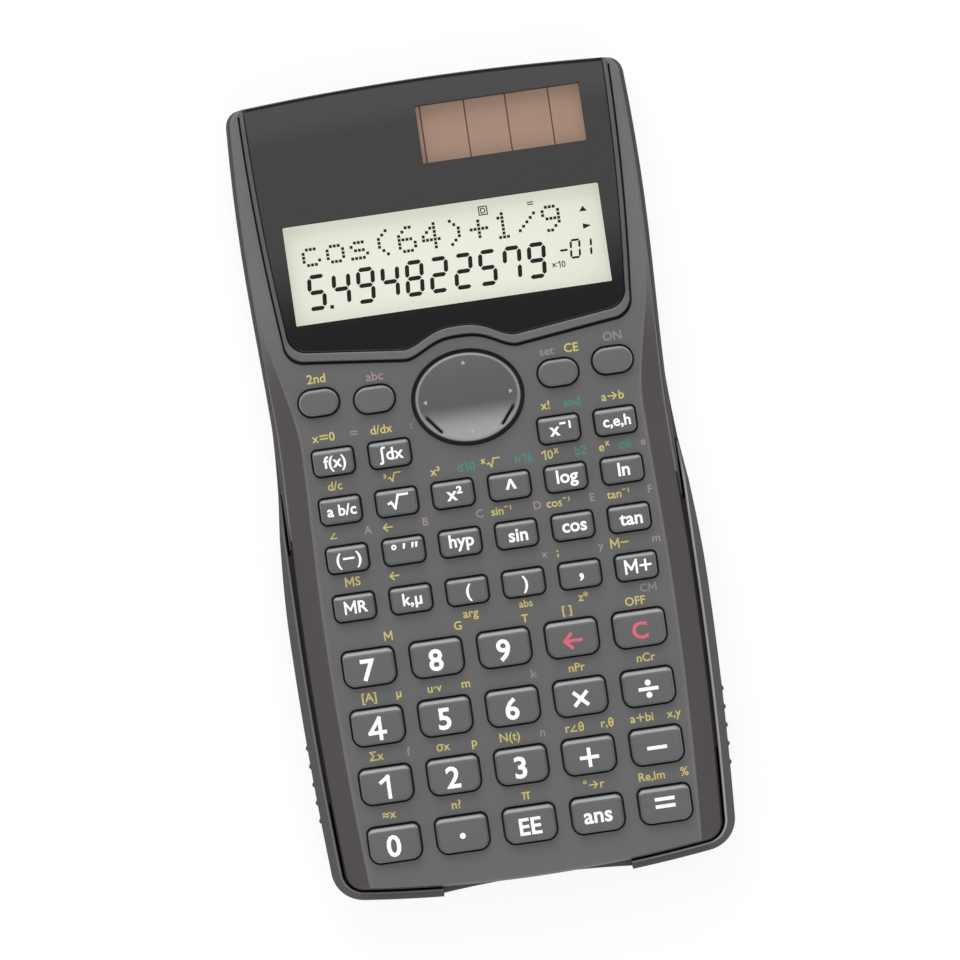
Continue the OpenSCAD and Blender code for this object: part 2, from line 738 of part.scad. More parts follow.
// Straight prism of a key's outline, grown by a margin
module key_prism(kind, grow, z0, z1) {
    size = KIND_SIZE[kind];
    corner = KIND_CORNER[kind];
    slab(cap_points(size[0] + 2 * grow, size[1] + 2 * grow, corner[0] + grow, corner[1] + grow), z0, z1);
}

// Wedge across a key that bevels its two long or short edges
module bevel_wedge(across, along, z0, z1) {
    rotate([90, 0, 0]) translate([0, 0, -along]) linear_extrude(2 * along)
        polygon([[-across / 2, z0], [across / 2, z0], [across / 2, z1 - bevel_h],
                 [across / 2 - bevel_in, z1], [-across / 2 + bevel_in, z1], [-across / 2, z1 - bevel_h]]);
}

module key(k) {
    size = KIND_SIZE[k[3]];
    z_flange = z_under - seat_play;
    z_top = z_face + key_rise;
    color(k[3] == 2 ? [0.42, 0.42, 0.43] : [0.3, 0.3, 0.31]) translate([k[1], k[2], 0]) union() {
        intersection() {
            key_prism(k[3], 0, z_flange - flange_t, z_top);
            bevel_wedge(size[0], size[1], z_flange - flange_t, z_top);
            rotate(90) bevel_wedge(size[1], size[0], z_flange - flange_t, z_top);
        }
        key_prism(k[3], flange_w, z_flange - flange_t, z_flange);
        post([0, 0], stem_r, z_dome + seat_play, z_flange - flange_t + eps);
    }
}

module arrow_pad() {
    z0 = z_dome + seat_play;
    z_top = z_face + pad_rise;
    color([0.4, 0.4, 0.41]) translate([0, y_pad, 0]) difference() {
        union() {
            slab(ellipse_points(pad_w + 2 * pad_flange_w, pad_h + 2 * pad_flange_w, 48),
                z0, z0 + pad_flange_t);
            slab(ellipse_points(pad_w, pad_h, 48), z0, z_top - bevel_h);
            loft([[z_top - bevel_h, ellipse_points(pad_w, pad_h, 48)],
                  [z_top, ellipse_points(pad_w - 2 * bevel_in, pad_h - 2 * bevel_in, 48)]]);
        }
        translate([0, 0, z_pivot]) sphere(r = pivot_r + seat_play);
    }
}

module arrow_pivot() {
    color([0.6, 0.6, 0.6]) translate([0, y_pad, z_pivot]) sphere(r = pivot_r);
}

front_case();
rear_case();
slide_cover();
display_window();
lcd_glass();
solar_panel();
circuit_board();
rubber_keypad();
elastomer_strips();
button_cell();
battery_contacts();
case_screws();
arrow_pad();
arrow_pivot();
for (k = KEYS) key(k);
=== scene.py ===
"""Looks of a pocket scientific calculator that lies on its slide-on cover."""
import math

import bmesh
import bpy
import numpy as np
from bpy.props import FloatProperty, FloatVectorProperty, PointerProperty
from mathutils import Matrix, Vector
from mathutils.geometry import delaunay_2d_cdt


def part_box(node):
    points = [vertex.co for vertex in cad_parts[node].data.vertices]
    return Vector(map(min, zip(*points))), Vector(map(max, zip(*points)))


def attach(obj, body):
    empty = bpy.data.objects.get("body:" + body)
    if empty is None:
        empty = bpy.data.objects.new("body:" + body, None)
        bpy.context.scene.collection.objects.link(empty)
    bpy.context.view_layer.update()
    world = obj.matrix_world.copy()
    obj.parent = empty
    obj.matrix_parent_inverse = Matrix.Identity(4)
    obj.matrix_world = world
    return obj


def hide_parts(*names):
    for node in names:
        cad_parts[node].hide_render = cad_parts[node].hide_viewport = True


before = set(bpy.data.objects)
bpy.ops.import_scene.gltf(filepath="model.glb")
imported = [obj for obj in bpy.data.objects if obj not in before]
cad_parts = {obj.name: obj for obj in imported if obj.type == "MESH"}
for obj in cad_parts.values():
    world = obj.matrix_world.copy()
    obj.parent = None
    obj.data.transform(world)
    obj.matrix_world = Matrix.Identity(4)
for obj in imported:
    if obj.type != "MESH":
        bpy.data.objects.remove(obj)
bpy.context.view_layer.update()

bl_info = {
    "name": "Pocket calculator looks",
    "version": (1, 0, 0),
    "blender": (4, 5, 0),
    "location": "View3D > Sidebar > Calculator",
    "description": "Builds the dressed pieces of a pocket scientific calculator over its solids",
    "category": "Object",
}

MM = 0.001


def corners(node):
    """Lowest and highest corner of a solid, in millimetres."""
    low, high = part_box(node)
    return np.array(low) / MM, np.array(high) / MM


# Sizes and places of the solids that the pieces fit, in millimetres

# Outline and heights of the two shells
FRONT_LOW, FRONT_HIGH = corners("front_case")
Y_TOP = FRONT_HIGH[1]
Y_END = FRONT_LOW[1]
WAIST = 38.65
BODY = FRONT_HIGH[0]
RIM = 0.75
END_TAPER = 1.85
TOP_TAPER = 0.9
LOW_BOW = 2.8
TOP_BOW = 1.5
LOW_CORNER = (3.4, 3.4, 2.2)
TOP_CORNER = (3.0, 3.4, 2.2)
FLANK_W = 3.8
FLANK_FADE = 29.0
EDGE_IN = 0.6
WALL_LOW = 2.0
WALL_HIGH = 4.0
Z_BACK = corners("rear_case")[0][2]
Z_SPLIT = Z_BACK + 6.9
Z_FACE = Z_BACK + 11.0
Z_EDGE = Z_FACE - 2.8
Z_UNDER = Z_FACE - 1.8
Z_STEP = 10.4
Z_DECK = FRONT_HIGH[2]
Z_LEDGE = Z_DECK - 1.2
Z_SHELF = Z_LEDGE - 0.05

# Arrow pad, with a short groove across each lower corner: the groove's direction, its distance from the
# pad's middle and the place of its own middle along it
PAD_LOW, PAD_HIGH = corners("arrow_pad")
PAD_MID = (PAD_LOW + PAD_HIGH) / 2
PAD_W = 20.6
PAD_H = 17.3
PAD_GAP = 0.7
GROOVE_X = 0.78
GROOVE_Y = 0.62
GROOVE_OUT = 8.45
GROOVE_MID = 0.9
# Upper part of the pad's profile: growth of its outline and drop below the top
PAD_CROWN = [(0.0, 0.7), (-0.05, 0.4), (-0.17, 0.2), (-0.33, 0.08), (-0.5, 0.03)]

# Places along the body where its sides change
Y_WIDE = Y_END + 52.7
Y_FLANK = PAD_MID[1] - 6.6
Y_BULGE = Y_FLANK + 0.62 * (Y_TOP - Y_FLANK)
Y_COVERED = Y_END + 72.4

# Display deck, its glasses and its window
HUMP_W = 11.0
HUMP_H = 3.2
HUMP_POWER = 1.4
DECK_SLOPE = 0.117
DECK_SIDE = 33.2
DECK_TOP = BODY - 2.9
DECK_CORNER = 4.0
DECK_END = 0.3
DECK_GROOVE = 0.62
FRAME_SIDE = 0.86
FRAME_LOW = 1.66
Y_DECK = PAD_MID[1] + PAD_H / 2 + PAD_GAP + 2.9 - HUMP_H
Y_DECK_HIGH = Y_TOP - 4.3
WINDOW_MID = np.array([0.0, 52.0])
LCD_LOW, LCD_HIGH = corners("lcd_glass")
LCD_MID = (LCD_LOW + LCD_HIGH) / 2
LCD_W = 62.0
LCD_H = 19.4
SOLAR_LOW, SOLAR_HIGH = corners("solar_panel")
SOLAR_MID = (SOLAR_LOW + SOLAR_HIGH) / 2
SOLAR_W = 32.1
SOLAR_H = 11.3

# Rubber under the keys and the pad, with holes for the pad's pivot and the bosses of two screws
RUBBER_LOW, RUBBER_HIGH = corners("rubber_keypad")
Y_RUBBER = Y_END + 6.6
Z_WEB = RUBBER_LOW[2] + 0.7
PLUNGER = 1.9
PLUNGER_GAP = 0.1
Z_PLUNGER = Z_WEB + 0.45
COLLAR_IN = 2.2
COLLAR_OUT = 3.0
PIN_R = 2.3
RUBBER_PINS = PAD_MID[:2] + np.array([[0.0, 0.0], [7.65 - WAIST, -2.8], [WAIST - 7.65, -2.8]])
PAD_POSTS = PAD_MID[:2] + np.array([[7.4, 0.0], [-7.4, 0.0], [0.0, 6.0], [0.0, -6.0]])

# Slide-on cover
COVER_LOW, COVER_HIGH = corners("slide_cover")
COVER_OUT = 2.5
COVER_GAP = 0.45
COVER_TUCK = 2.2
COVER_FLOOR = 1.6
COVER_RAMP = 8.3
END_SHARE = 0.8
NOTCH = 18.6
NOTCH_DEPTH = 0.9
NOTCH_STEPS = 17
RIB_COUNT = 5
RIB_STEP = 3.6
RIB_R = 0.6
Y_RIB = Y_END + 31.0
RAIL_LENGTH = 49.0
RAIL_IN = 1.05
Y_RAIL = Y_END + 19.7 + RAIL_LENGTH / 2

# Keys: width, depth and corner radii of each kind, and the stem and flange below the cap
KEY_SIZE = {"digit": (10.0, 6.9, 1.2, 2.0), "function": (7.9, 5.0, 0.8, 1.2),
            "oval": (7.8, 5.1, 2.55, 2.55)}
STEM_R = 1.7
STEM_H = 0.7
FLANGE_OUT = 0.6
FLANGE_H = 0.8
# Upper part of a key's profile: growth of its outline, share of the brow and drop below the top
CROWN = [(-0.03, 0.0, 0.75), (-0.04, 0.0, 0.6), (-0.1, 0.12, 0.42), (-0.2, 0.36, 0.25), (-0.3, 0.66, 0.11),
         (-0.38, 0.92, 0.03), (-0.46, 1.0, 0.0), (-0.52, 1.0, 0.0)]
KEY_NODES = sorted(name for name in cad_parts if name.startswith("key_"))
OVAL_KEYS = ("key_shift", "key_alpha", "key_mode", "key_on")
RED_KEYS = ("key_delete", "key_all_clear")

# Forms of the body's outline
INSIDE, FRONT, COVER = range(3)

# Distance, in metres, within which points become one
WELD = 4e-7


def key_kind(node):
    """Oval, told by the name, or digit or function, told by the key's width."""
    if node in OVAL_KEYS:
        return "oval"
    low, high = corners(node)
    return "digit" if high[0] - low[0] > 10 else "function"


def colour_property(name, description, default):
    """Property that holds a colour."""
    return FloatVectorProperty(name=name, description=description, subtype="COLOR", default=default,
                               min=0, max=1)


def length_property(name, description, default, low, high):
    """Property that holds a length in metres."""
    return FloatProperty(name=name, description=description, unit="LENGTH", default=default,
                         min=low, max=high)


class ShellLooks(bpy.types.PropertyGroup):
    """Colours and edges of the two shells and the cover."""
    face: colour_property("Face", "Colour of the keypad face", (0.092, 0.089, 0.09))
    # The flank colour is darker than the face: partly its own brownish tone, partly painted shade of the
    # slope
    flank: colour_property("Flank", "Colour of the sloping flanks", (0.057, 0.048, 0.047))
    rear: colour_property("Rear shell", "Colour of the rear shell", (0.05, 0.048, 0.047))
    cover: colour_property("Cover", "Colour of the slide-on cover", (0.05, 0.048, 0.047))
    hole_gap: length_property("Hole gap", "Gap between a key and the lip of its hole",
                              0.00028, 0.0002, 0.0006)
    lip: length_property("Lip", "Radius of the lip of a key hole", 0.00014, 0.0001, 0.0004)


class DisplayLooks(bpy.types.PropertyGroup):
    """Colours of the window, the liquid crystal and the solar cells."""
    # The window's two colours differ by a painted reflection: darker below the liquid crystal, lighter near
    # the display end
    window: colour_property("Window", "Tint of the window near the display end", (0.039, 0.039, 0.039))
    window_low: colour_property("Window below", "Tint of the window below the liquid crystal",
                                (0.004, 0.004, 0.004))
    # The liquid crystal glows in this colour: painted light
    lcd: colour_property("Liquid crystal", "Colour of the lit field", (0.76, 0.78, 0.66))
    ink: colour_property("Segments", "Colour of the dark segments", (0.012, 0.013, 0.012))
    solar: colour_property("Solar cells", "Colour of the solar cells", (0.37, 0.235, 0.165))


class KeyLooks(bpy.types.PropertyGroup):
    """Colours and shapes of the keys and the arrow pad."""
    key: colour_property("Keys", "Colour of the digit and function keys", (0.085, 0.084, 0.085))
    oval: colour_property("Oval keys", "Colour of the oval keys", (0.092, 0.092, 0.094))
    pad: colour_property("Arrow pad", "Colour of the arrow pad", (0.073, 0.073, 0.075))
    dish: length_property("Dish", "Depth of the hollow in a key's top", 0.00006, 0, 0.0003)
    brow: length_property("Brow", "Extra width of the bevel along a key's upper edge", 0.00075, 0, 0.0012)


class PrintLooks(bpy.types.PropertyGroup):
    """Colours of the printed marks."""
    white: colour_property("White", "Marks on the keys", (0.9, 0.9, 0.9))
    red: colour_property("Red", "Marks on the two clearing keys", (0.6, 0.1, 0.15))
    yellow: colour_property("Yellow", "Second marks", (0.54, 0.46, 0.13))
    pink: colour_property("Pink", "Letter marks", (0.29, 0.2, 0.24))
    teal: colour_property("Teal", "Number base marks", (0.035, 0.21, 0.145))
    grey: colour_property("Grey", "Plain marks", (0.21, 0.21, 0.235))


class StageLooks(bpy.types.PropertyGroup):
    """Floor and camera."""
    floor: colour_property("Floor", "Colour of the floor", (0.93, 0.93, 0.93))
    field: length_property("Field", "Width that the camera sees at the keypad face", 0.1864, 0.1, 1)
    turn: FloatProperty(name="Turn", description="Turn of the camera about the upright axis",
                        default=math.radians(-8.3), subtype="ANGLE", unit="ROTATION")


def arithmetic(operation, swapped=False):
    """Method that adds one Math node; swapped puts the other value first."""
    def method(self, other=0.0):
        pair = (other, self) if swapped else (self, other)
        return self.finish.node("ShaderNodeMath", {"operation": operation}, dict(enumerate(pair)))
    return method


class Value:
    """A socket of a shader tree that carries a number; arithmetic on it adds Math nodes."""

    def __init__(self, finish, socket):
        self.finish = finish
        self.socket = socket

    __add__ = arithmetic("ADD")
    __radd__ = arithmetic("ADD", swapped=True)
    __sub__ = arithmetic("SUBTRACT")
    __rsub__ = arithmetic("SUBTRACT", swapped=True)
    __mul__ = arithmetic("MULTIPLY")
    __rmul__ = arithmetic("MULTIPLY", swapped=True)
    __lt__ = arithmetic("LESS_THAN")
    __abs__ = arithmetic("ABSOLUTE")

    def ramp(self, low, high):
        """0 below low, 1 above high, smooth between."""
        return self.finish.node("ShaderNodeMapRange", {"interpolation_type": "SMOOTHSTEP"},
                                {"Value": self, "From Min": low, "From Max": high})


class Finish:
    """A material whose nodes are written as expressions."""

    def __init__(self, name, roughness=0.5, **fixed):
        self.material = bpy.data.materials.new(name)
        self.material.use_nodes = True
        self.tree = self.material.node_tree
        self.shader = self.tree.nodes["Principled BSDF"]
        self.shader.inputs["Roughness"].default_value = roughness
        for socket, value in fixed.items():
            self.shader.inputs[socket.replace("_", " ")].default_value = value

    def node(self, kind, settings=None, inputs=None, output=0):
        """Adds a node of a type with its settings and inputs, and returns one of its outputs."""
        node = self.tree.nodes.new(kind)
        for key, value in (settings or {}).items():
            setattr(node, key, value)
        for key, value in (inputs or {}).items():
            self.feed(node.inputs[key], value)
        return Value(self, node.outputs[output])

    def feed(self, socket, value):
        """Links a value into a socket, or sets the socket to a plain number or colour."""
        if isinstance(value, Value):
            self.tree.links.new(value.socket, socket)
        elif socket.type == "RGBA":
            socket.default_value = (*value, 1.0)
        else:
            socket.default_value = value

    def place(self):
        """Place on the piece, in metres, and its three coordinates."""
        at = self.node("ShaderNodeTexCoord", output=3)
        split = self.node("ShaderNodeSeparateXYZ", inputs={0: at})
        outs = split.socket.node.outputs
        return at, Value(self, outs[0]), Value(self, outs[1]), Value(self, outs[2])

    def noise(self, at, scale, detail=2.0, stretch=None):
        """Noise over the piece, with an optional stretch of its coordinates."""
        if stretch:
            at = self.node("ShaderNodeMapping", inputs={"Vector": at, "Scale": stretch})
        return self.node("ShaderNodeTexNoise", inputs={"Vector": at, "Scale": scale, "Detail": detail})

    def mix(self, share, first, second):
        """Blend of two colours."""
        return self.node("ShaderNodeMix", {"data_type": "RGBA"}, {0: share, 6: first, 7: second}, output=2)

    def colour(self, value):
        self.feed(self.shader.inputs["Base Color"], value)

    def rough(self, value):
        self.feed(self.shader.inputs["Roughness"], value)

    def bump(self, height, depth):
        """Bump from a height between 0 and 1 that stands for a depth in metres."""
        normal = self.node("ShaderNodeBump", inputs={"Height": height, "Distance": depth, "Strength": 1.0})
        self.feed(self.shader.inputs["Normal"], normal)

    # Emission colour, used as painted glow on the liquid crystal and the solar cells
    def glow(self, value):
        self.feed(self.shader.inputs["Emission Color"], value)

    def mottled(self, share, colour, low, high):
        """Colour that varies between two factors of itself."""
        return self.mix(share, shade(colour, low), shade(colour, high))


def shade(colour, factor):
    """A colour made lighter or darker by a factor."""
    return tuple(min(1.0, c * factor) for c in colour)


def moulded_plastic(name, colour, roughness=0.45, grain=2600.0, depth=6e-6, sheen=0.10, fade=None):
    """Moulded plastic: fine spark-eroded grain, faint clouds in the colour and uneven gloss.

    A fade names an axis, two places along it in millimetres and the factor that the colour reaches there.
    """
    finish = Finish(name, roughness)
    at, x, y, z = finish.place()
    clouds = finish.noise(at, 60.0, 3.0)
    fine = finish.noise(at, grain, 2.0)
    spread = clouds * 0.7 + fine * 0.3
    base = finish.mottled(spread, colour, 0.9, 1.1)
    if fade:
        axis, start, stop, factor = fade
        along = {"x": x, "y": y, "z": z}[axis].ramp(start * MM, stop * MM)
        base = finish.mix(along, base, finish.mottled(spread, colour, 0.9 * factor, 1.1 * factor))
    finish.colour(base)
    finish.rough(roughness - sheen / 2 + fine * sheen)
    finish.bump(fine, depth)
    return finish.material


def silicone():
    """Matt grey rubber, made once."""
    made = bpy.data.materials.get("silicone rubber")
    return made or moulded_plastic("silicone rubber", (0.25, 0.25, 0.27), 0.7, 900.0, 5e-6)


def print_ink(name, colour):
    """Pad-printed ink: slightly uneven cover and a dull surface."""
    finish = Finish(name, 0.55)
    at = finish.place()[0]
    cover = finish.noise(at, 1500.0, 3.0)
    finish.colour(finish.mottled(cover, colour, 0.86, 1.08))
    finish.rough(0.5 + cover * 0.12)
    finish.bump(cover, 4e-6)
    return finish.material


def smooth(t):
    """Smooth step from 0 to 1."""
    t = np.clip(t, 0, 1)
    return t * t * (3 - 2 * t)


def side_x(y, form):
    """Half of the width at places along the body.

    Below its widest place the side comes in along a parabola. Above it, the inside stays straight, the
    front shell widens to the display along a smooth step, and the cover comes in along another.
    """
    base = WAIST - END_TAPER * (np.maximum(0, Y_WIDE - y) / (Y_WIDE - Y_END)) ** 2
    if form == INSIDE:
        return base
    if form == COVER:
        return base - COVER_TUCK * smooth((y - Y_WIDE) / (Y_FLANK + 10 - Y_WIDE))
    spread = (BODY + RIM - WAIST) * smooth((y - Y_FLANK) / (Y_BULGE - Y_FLANK))
    spread = spread - TOP_TAPER * (np.maximum(0, y - Y_BULGE) / (Y_TOP - Y_BULGE)) ** 2
    rim = RIM * smooth((y - Y_WIDE) / (Y_FLANK + 5 - Y_WIDE))
    return base + spread - rim


def body_loop(inset, form=INSIDE, flank=0.0):
    """Closed outline of the body in one form, moved inwards by an inset.

    The ends are parabolas, the corners are superellipse quarters, and the sides follow side_x.
    Flank 1 takes the sloping flank off.
    """
    low_inset = inset * END_SHARE if inset < 0 else inset
    lw = 0.4 if flank else max(0.3, LOW_CORNER[0] - inset)
    ll = 0.4 if flank else max(0.6, LOW_CORNER[1] - inset)
    tw = max(0.3, TOP_CORNER[0] - inset)
    tl = max(0.6, TOP_CORNER[1] - inset)

    def low(x):
        return Y_END + low_inset + LOW_BOW * (x / WAIST) ** 2

    def top(x):
        return Y_TOP - inset - TOP_BOW * (x / BODY) ** 2

    y0 = Y_END + low_inset + LOW_BOW + ll
    y1 = Y_TOP - inset - TOP_BOW - tl
    low_hw = side_x(y0, form) - inset - flank * FLANK_W
    top_hw = side_x(y1, form) - inset
    a = np.radians(np.linspace(0, 90, 17))
    x_low = np.linspace(0, low_hw - lw, 16)[:-1]
    x_corner = low_hw - lw + lw * np.sin(a) ** (2 / LOW_CORNER[2])
    y_corner = low(x_corner) + (y0 - low(low_hw)) * (1 - np.cos(a) ** (2 / LOW_CORNER[2]))
    y_fade = Y_FLANK + FLANK_FADE
    y_side = np.concatenate([np.linspace(y0, Y_WIDE, 10)[1:-1], np.linspace(Y_WIDE, Y_FLANK, 14)[:-1],
                             np.linspace(Y_FLANK, y_fade, 30), np.linspace(y_fade, y1, 14)[1:-1]])
    x_side = side_x(y_side, form) - inset
    x_side = x_side - flank * FLANK_W * (1 - smooth((y_side - Y_FLANK) / FLANK_FADE))
    x_high = top_hw - tw + tw * np.cos(a) ** (2 / TOP_CORNER[2])
    y_high = top(x_high) - (top(top_hw) - y1) * (1 - np.sin(a) ** (2 / TOP_CORNER[2]))
    x_top = np.linspace(top_hw - tw, 0, 16)[1:]
    x = np.concatenate([x_low, x_corner, x_side, x_high, x_top])
    y = np.concatenate([low(x_low), y_corner, y_side, y_high, top(x_top)])
    return mirrored(np.stack([x, y], -1))


def mirrored(half):
    """Closed loop from a right half whose first and last points lie on the middle line."""
    left = half[-2:0:-1] * [-1, 1]
    return np.concatenate([half, left])


def deck_edge(x):
    """Lower edge of the deck: a raised cosine over the arrow pad and straight rising arms."""
    a = np.abs(x)
    turn = np.pi * (np.minimum(a, HUMP_W) / HUMP_W) ** HUMP_POWER
    return Y_DECK + HUMP_H * (0.5 + 0.5 * np.cos(turn)) + np.maximum(a - HUMP_W, 0) * DECK_SLOPE


def deck_side(y):
    """Half of the deck's width: straight near the display end, then in along a parabola."""
    t = np.maximum(0, Y_DECK_HIGH - y) / (Y_DECK_HIGH - Y_DECK)
    return DECK_TOP - (DECK_TOP - DECK_SIDE) * t * t


def deck_half(side, low, end):
    """Right half of the deck's outline, from the middle of its lower edge to its upper corner.

    The lower edge follows deck_edge, then comes a quarter circle, and the side follows deck_side.
    """
    corner_y = deck_edge(DECK_SIDE) + low + DECK_CORNER
    cx = deck_side(corner_y) - side - DECK_CORNER
    cy = deck_edge(cx) + low + DECK_CORNER
    top_x = DECK_TOP - side
    a = np.radians(np.linspace(-90, 0, 13))
    x_low = np.linspace(0, cx, 60)[:-1]
    y_side = np.linspace(cy, Y_TOP - end - TOP_BOW * (top_x / BODY) ** 2, 25)[1:]
    x = np.concatenate([x_low, cx + DECK_CORNER * np.cos(a), deck_side(y_side) - side])
    y = np.concatenate([deck_edge(x_low) + low, cy + DECK_CORNER * np.sin(a), y_side])
    return np.stack([x, y], -1)


def deck_loop(side, low, end):
    """Closed outline of the display deck, moved inwards by its frame, with a bowed upper end."""
    half = deck_half(side, low, end)
    x = np.linspace(half[-1, 0], 0, 16)[1:]
    top = np.stack([x, Y_TOP - end - TOP_BOW * (x / BODY) ** 2], -1)
    return mirrored(np.concatenate([half, top]))


def cap_loop(width, depth, high, low):
    """Rounded rectangle about the origin, with one radius above and another below.

    Each corner is a quarter circle, and each straight edge has evenly spaced points.
    """
    steps = 9
    fill = 6
    turn = np.radians(np.linspace(0, 90, steps)[None, :] + 90 * np.arange(4)[:, None])
    r = np.array([high, high, low, low])[:, None]
    sx = np.array([1, -1, -1, 1])[:, None]
    sy = np.array([1, 1, -1, -1])[:, None]
    x = sx * (width / 2 - r) + r * np.cos(turn)
    y = sy * (depth / 2 - r) + r * np.sin(turn)
    arcs = np.stack([x, y], -1)
    share = (np.arange(1, fill + 1) / (fill + 1))[None, :, None]
    ends = arcs[:, -1:]
    starts = np.roll(arcs, -1, axis=0)[:, :1]
    straight = ends + share * (starts - ends)
    return np.concatenate([arcs, straight], axis=1).reshape(-1, 2)


def ellipse_loop(width, depth, count=96):
    """Ellipse about the origin."""
    a = np.linspace(0, 2 * np.pi, count, endpoint=False)
    return np.stack([width / 2 * np.cos(a), depth / 2 * np.sin(a)], -1)


def square(half):
    """Corners of a square about the origin."""
    return np.array([[-half, -half], [half, -half], [half, half], [-half, half]])


def raised(loop, height):
    """A flat loop at one height, or at one height for each point."""
    return np.column_stack([loop, np.broadcast_to(height, len(loop))])


def turns(points, first, last):
    """How often outlines go round each point.

    Counted are the outlines' edges that cross the point's level to its right, those that rise less those
    that fall.
    """
    x, y = points.T[:, :, None]
    rise = last[:, 1] - first[:, 1]
    cross = (first[:, 1] <= y) != (last[:, 1] <= y)
    at = first[:, 0] + (y - first[:, 1]) / np.where(rise == 0, 1.0, rise) * (last[:, 0] - first[:, 0])
    return (np.sign(rise) * (cross & (at > x))).sum(axis=1)


def inside(points, loop):
    """Which points a closed loop goes round."""
    return turns(points, loop, np.roll(loop, -1, axis=0)) != 0


def triangulated(points, edges):
    """Points and triangles of a constrained triangulation."""
    made = delaunay_2d_cdt([Vector(p) for p in points], edges.tolist(), [], 1, 1e-6)
    return np.array([tuple(v) for v in made[0]]), np.array(made[2])


class Skin:
    """Patches of points, in millimetres, and faces that become one piece."""

    def __init__(self):
        self.points = []
        self.faces = []
        self.slots = []
        self.count = 0

    def add(self, points, faces, slot=0):
        """Adds points and faces, with the number of their material, or one number for each face."""
        self.points.append(np.asarray(points, float))
        self.faces += [[i + self.count for i in face] for face in faces]
        self.slots += np.broadcast_to(slot, len(faces)).tolist()
        self.count += len(points)

    def grid(self, points, slot=0, closed=True, ring=False):
        """Quads over a grid of points; closed joins its last column to the first, ring its last row.

        The slot is one number, one for each column of quads, or one for each quad.
        """
        points = np.asarray(points, float)
        rows, cols = points.shape[:2]
        index = np.arange(rows * cols).reshape(rows, cols)
        if closed:
            index = np.hstack([index, index[:, :1]])
        if ring:
            index = np.vstack([index, index[:1]])
        quads = np.stack([index[:-1, :-1], index[:-1, 1:], index[1:, 1:], index[1:, :-1]], -1)
        slots = np.broadcast_to(slot, quads.shape[:2]).ravel()
        self.add(points.reshape(-1, 3), quads.reshape(-1, 4), slots)

    def strip(self, rows, slot=0, ring=False):
        """Quads between loops that are given as pairs of a flat loop and its height."""
        self.grid(np.stack([raised(loop, z) for loop, z in rows]), slot, ring=ring)

    def plate(self, outer, holes, height, slot=0):
        """Flat face between an outer loop and holes."""
        loops = [outer] + list(holes)
        start = np.cumsum([0] + [len(loop) for loop in loops])
        edges = np.concatenate([np.stack([np.arange(n), np.roll(np.arange(n), -1)], -1) + s
                                for n, s in zip(map(len, loops), start)])
        flat, faces = triangulated(np.concatenate(loops), edges)
        middle = flat[faces].mean(axis=1)
        keep = inside(middle, outer)
        for hole in holes:
            keep &= ~inside(middle, hole)
        self.add(raised(flat, height), faces[keep], slot)

    def post(self, centre, radius, low, high, edge=0.15, slot=0, count=20):
        """Upright round post with rounded ends: a profile turned about its axis."""
        circle = ellipse_loop(2.0, 2.0, count)
        rows = [(0.0, low), (radius - edge, low), (radius, low + edge), (radius, high - edge),
                (radius - edge * 0.3, high - edge * 0.3), (radius - edge, high), (0.0, high)]
        self.strip([(circle * r + centre, z) for r, z in rows], slot)

    def boxes(self, shapes, low, high, slot=0):
        """Thin prisms over many outlines with equally many points: sides, lid and floor of each."""
        shapes = np.asarray(shapes, float)
        count, n = shapes.shape[:2]
        floor = np.concatenate([shapes, np.full((count, n, 1), low)], -1)
        lid = np.concatenate([shapes, np.full((count, n, 1), high)], -1)
        points = np.concatenate([floor, lid], axis=1).reshape(-1, 3)
        base = (np.arange(count) * 2 * n)[:, None, None]
        i = np.arange(n)
        j = np.roll(i, -1)
        sides = np.stack([i, j, j + n, i + n], -1)[None] + base
        self.add(points, sides.reshape(-1, 4), slot)
        ends = np.stack([i[::-1], i + n])[None] + base
        self.faces += (ends.reshape(-1, n) + self.count - len(points)).tolist()
        self.slots += [slot] * (2 * count)

    def text(self, body, size, centre, low, high, slot=0, bold=0.02, surface=None):
        """Letters as a thin raised print; high is their height, and surface adds one for each point."""
        runs = []
        plain = ""
        for letter in body:
            if letter in STROKES:
                runs += [plain, letter]
                plain = ""
            else:
                plain += letter
        shapes = []
        reach = 0.0
        for run in runs + [plain]:
            if run.strip():
                points, faces = (strokes if run in STROKES else letters)(run, bold)
                points[:, 0] += reach - points[:, 0].min()
                reach = points[:, 0].max() + LETTER_GAP
                shapes.append((points, faces))
        for points, faces in shapes:
            x = (points[:, 0] - (reach - LETTER_GAP) / 2) * size + centre[0]
            y = (points[:, 1] - LETTER_MID) * size + centre[1]
            z = np.where(points[:, 2] > 0, high + points[:, 2] - LETTER_HALF, low)
            if surface:
                z = z + surface(x, y)
            self.add(np.stack([x, y, z], -1), faces, slot)

    def build(self, name, materials, body, angle=38.0):
        """Welds the patches, turns the faces outwards and makes the piece, which rides on a body."""
        mesh = bpy.data.meshes.new(name)
        mesh.from_pydata((np.concatenate(self.points) * MM).tolist(), [], self.faces)
        mesh.polygons.foreach_set("material_index", np.array(self.slots, np.int32))
        for material in materials:
            mesh.materials.append(material)
        work = bmesh.new()
        work.from_mesh(mesh)
        bmesh.ops.remove_doubles(work, verts=work.verts, dist=WELD)
        bmesh.ops.recalc_face_normals(work, faces=work.faces)
        work.to_mesh(mesh)
        work.free()
        mesh.polygons.foreach_set("use_smooth", np.ones(len(mesh.polygons), bool))
        mesh.set_sharp_from_angle(angle=math.radians(angle))
        piece = bpy.data.objects.new(name, mesh)
        bpy.context.scene.collection.objects.link(piece)
        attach(piece, body)
        return piece


def ring(width, height, middle):
    """Corner points of a closed oval line."""
    a = np.linspace(0, 2 * np.pi, 17)
    return list(zip(width / 2 * np.cos(a), middle + height / 2 * np.sin(a)))


# Letters, in heights of a line: gap between runs, middle of a capital, half of the thickness and width
# of a stroke
LETTER_GAP = 0.09
LETTER_MID = 0.35
LETTER_HALF = 0.01
STROKE_W = 0.1
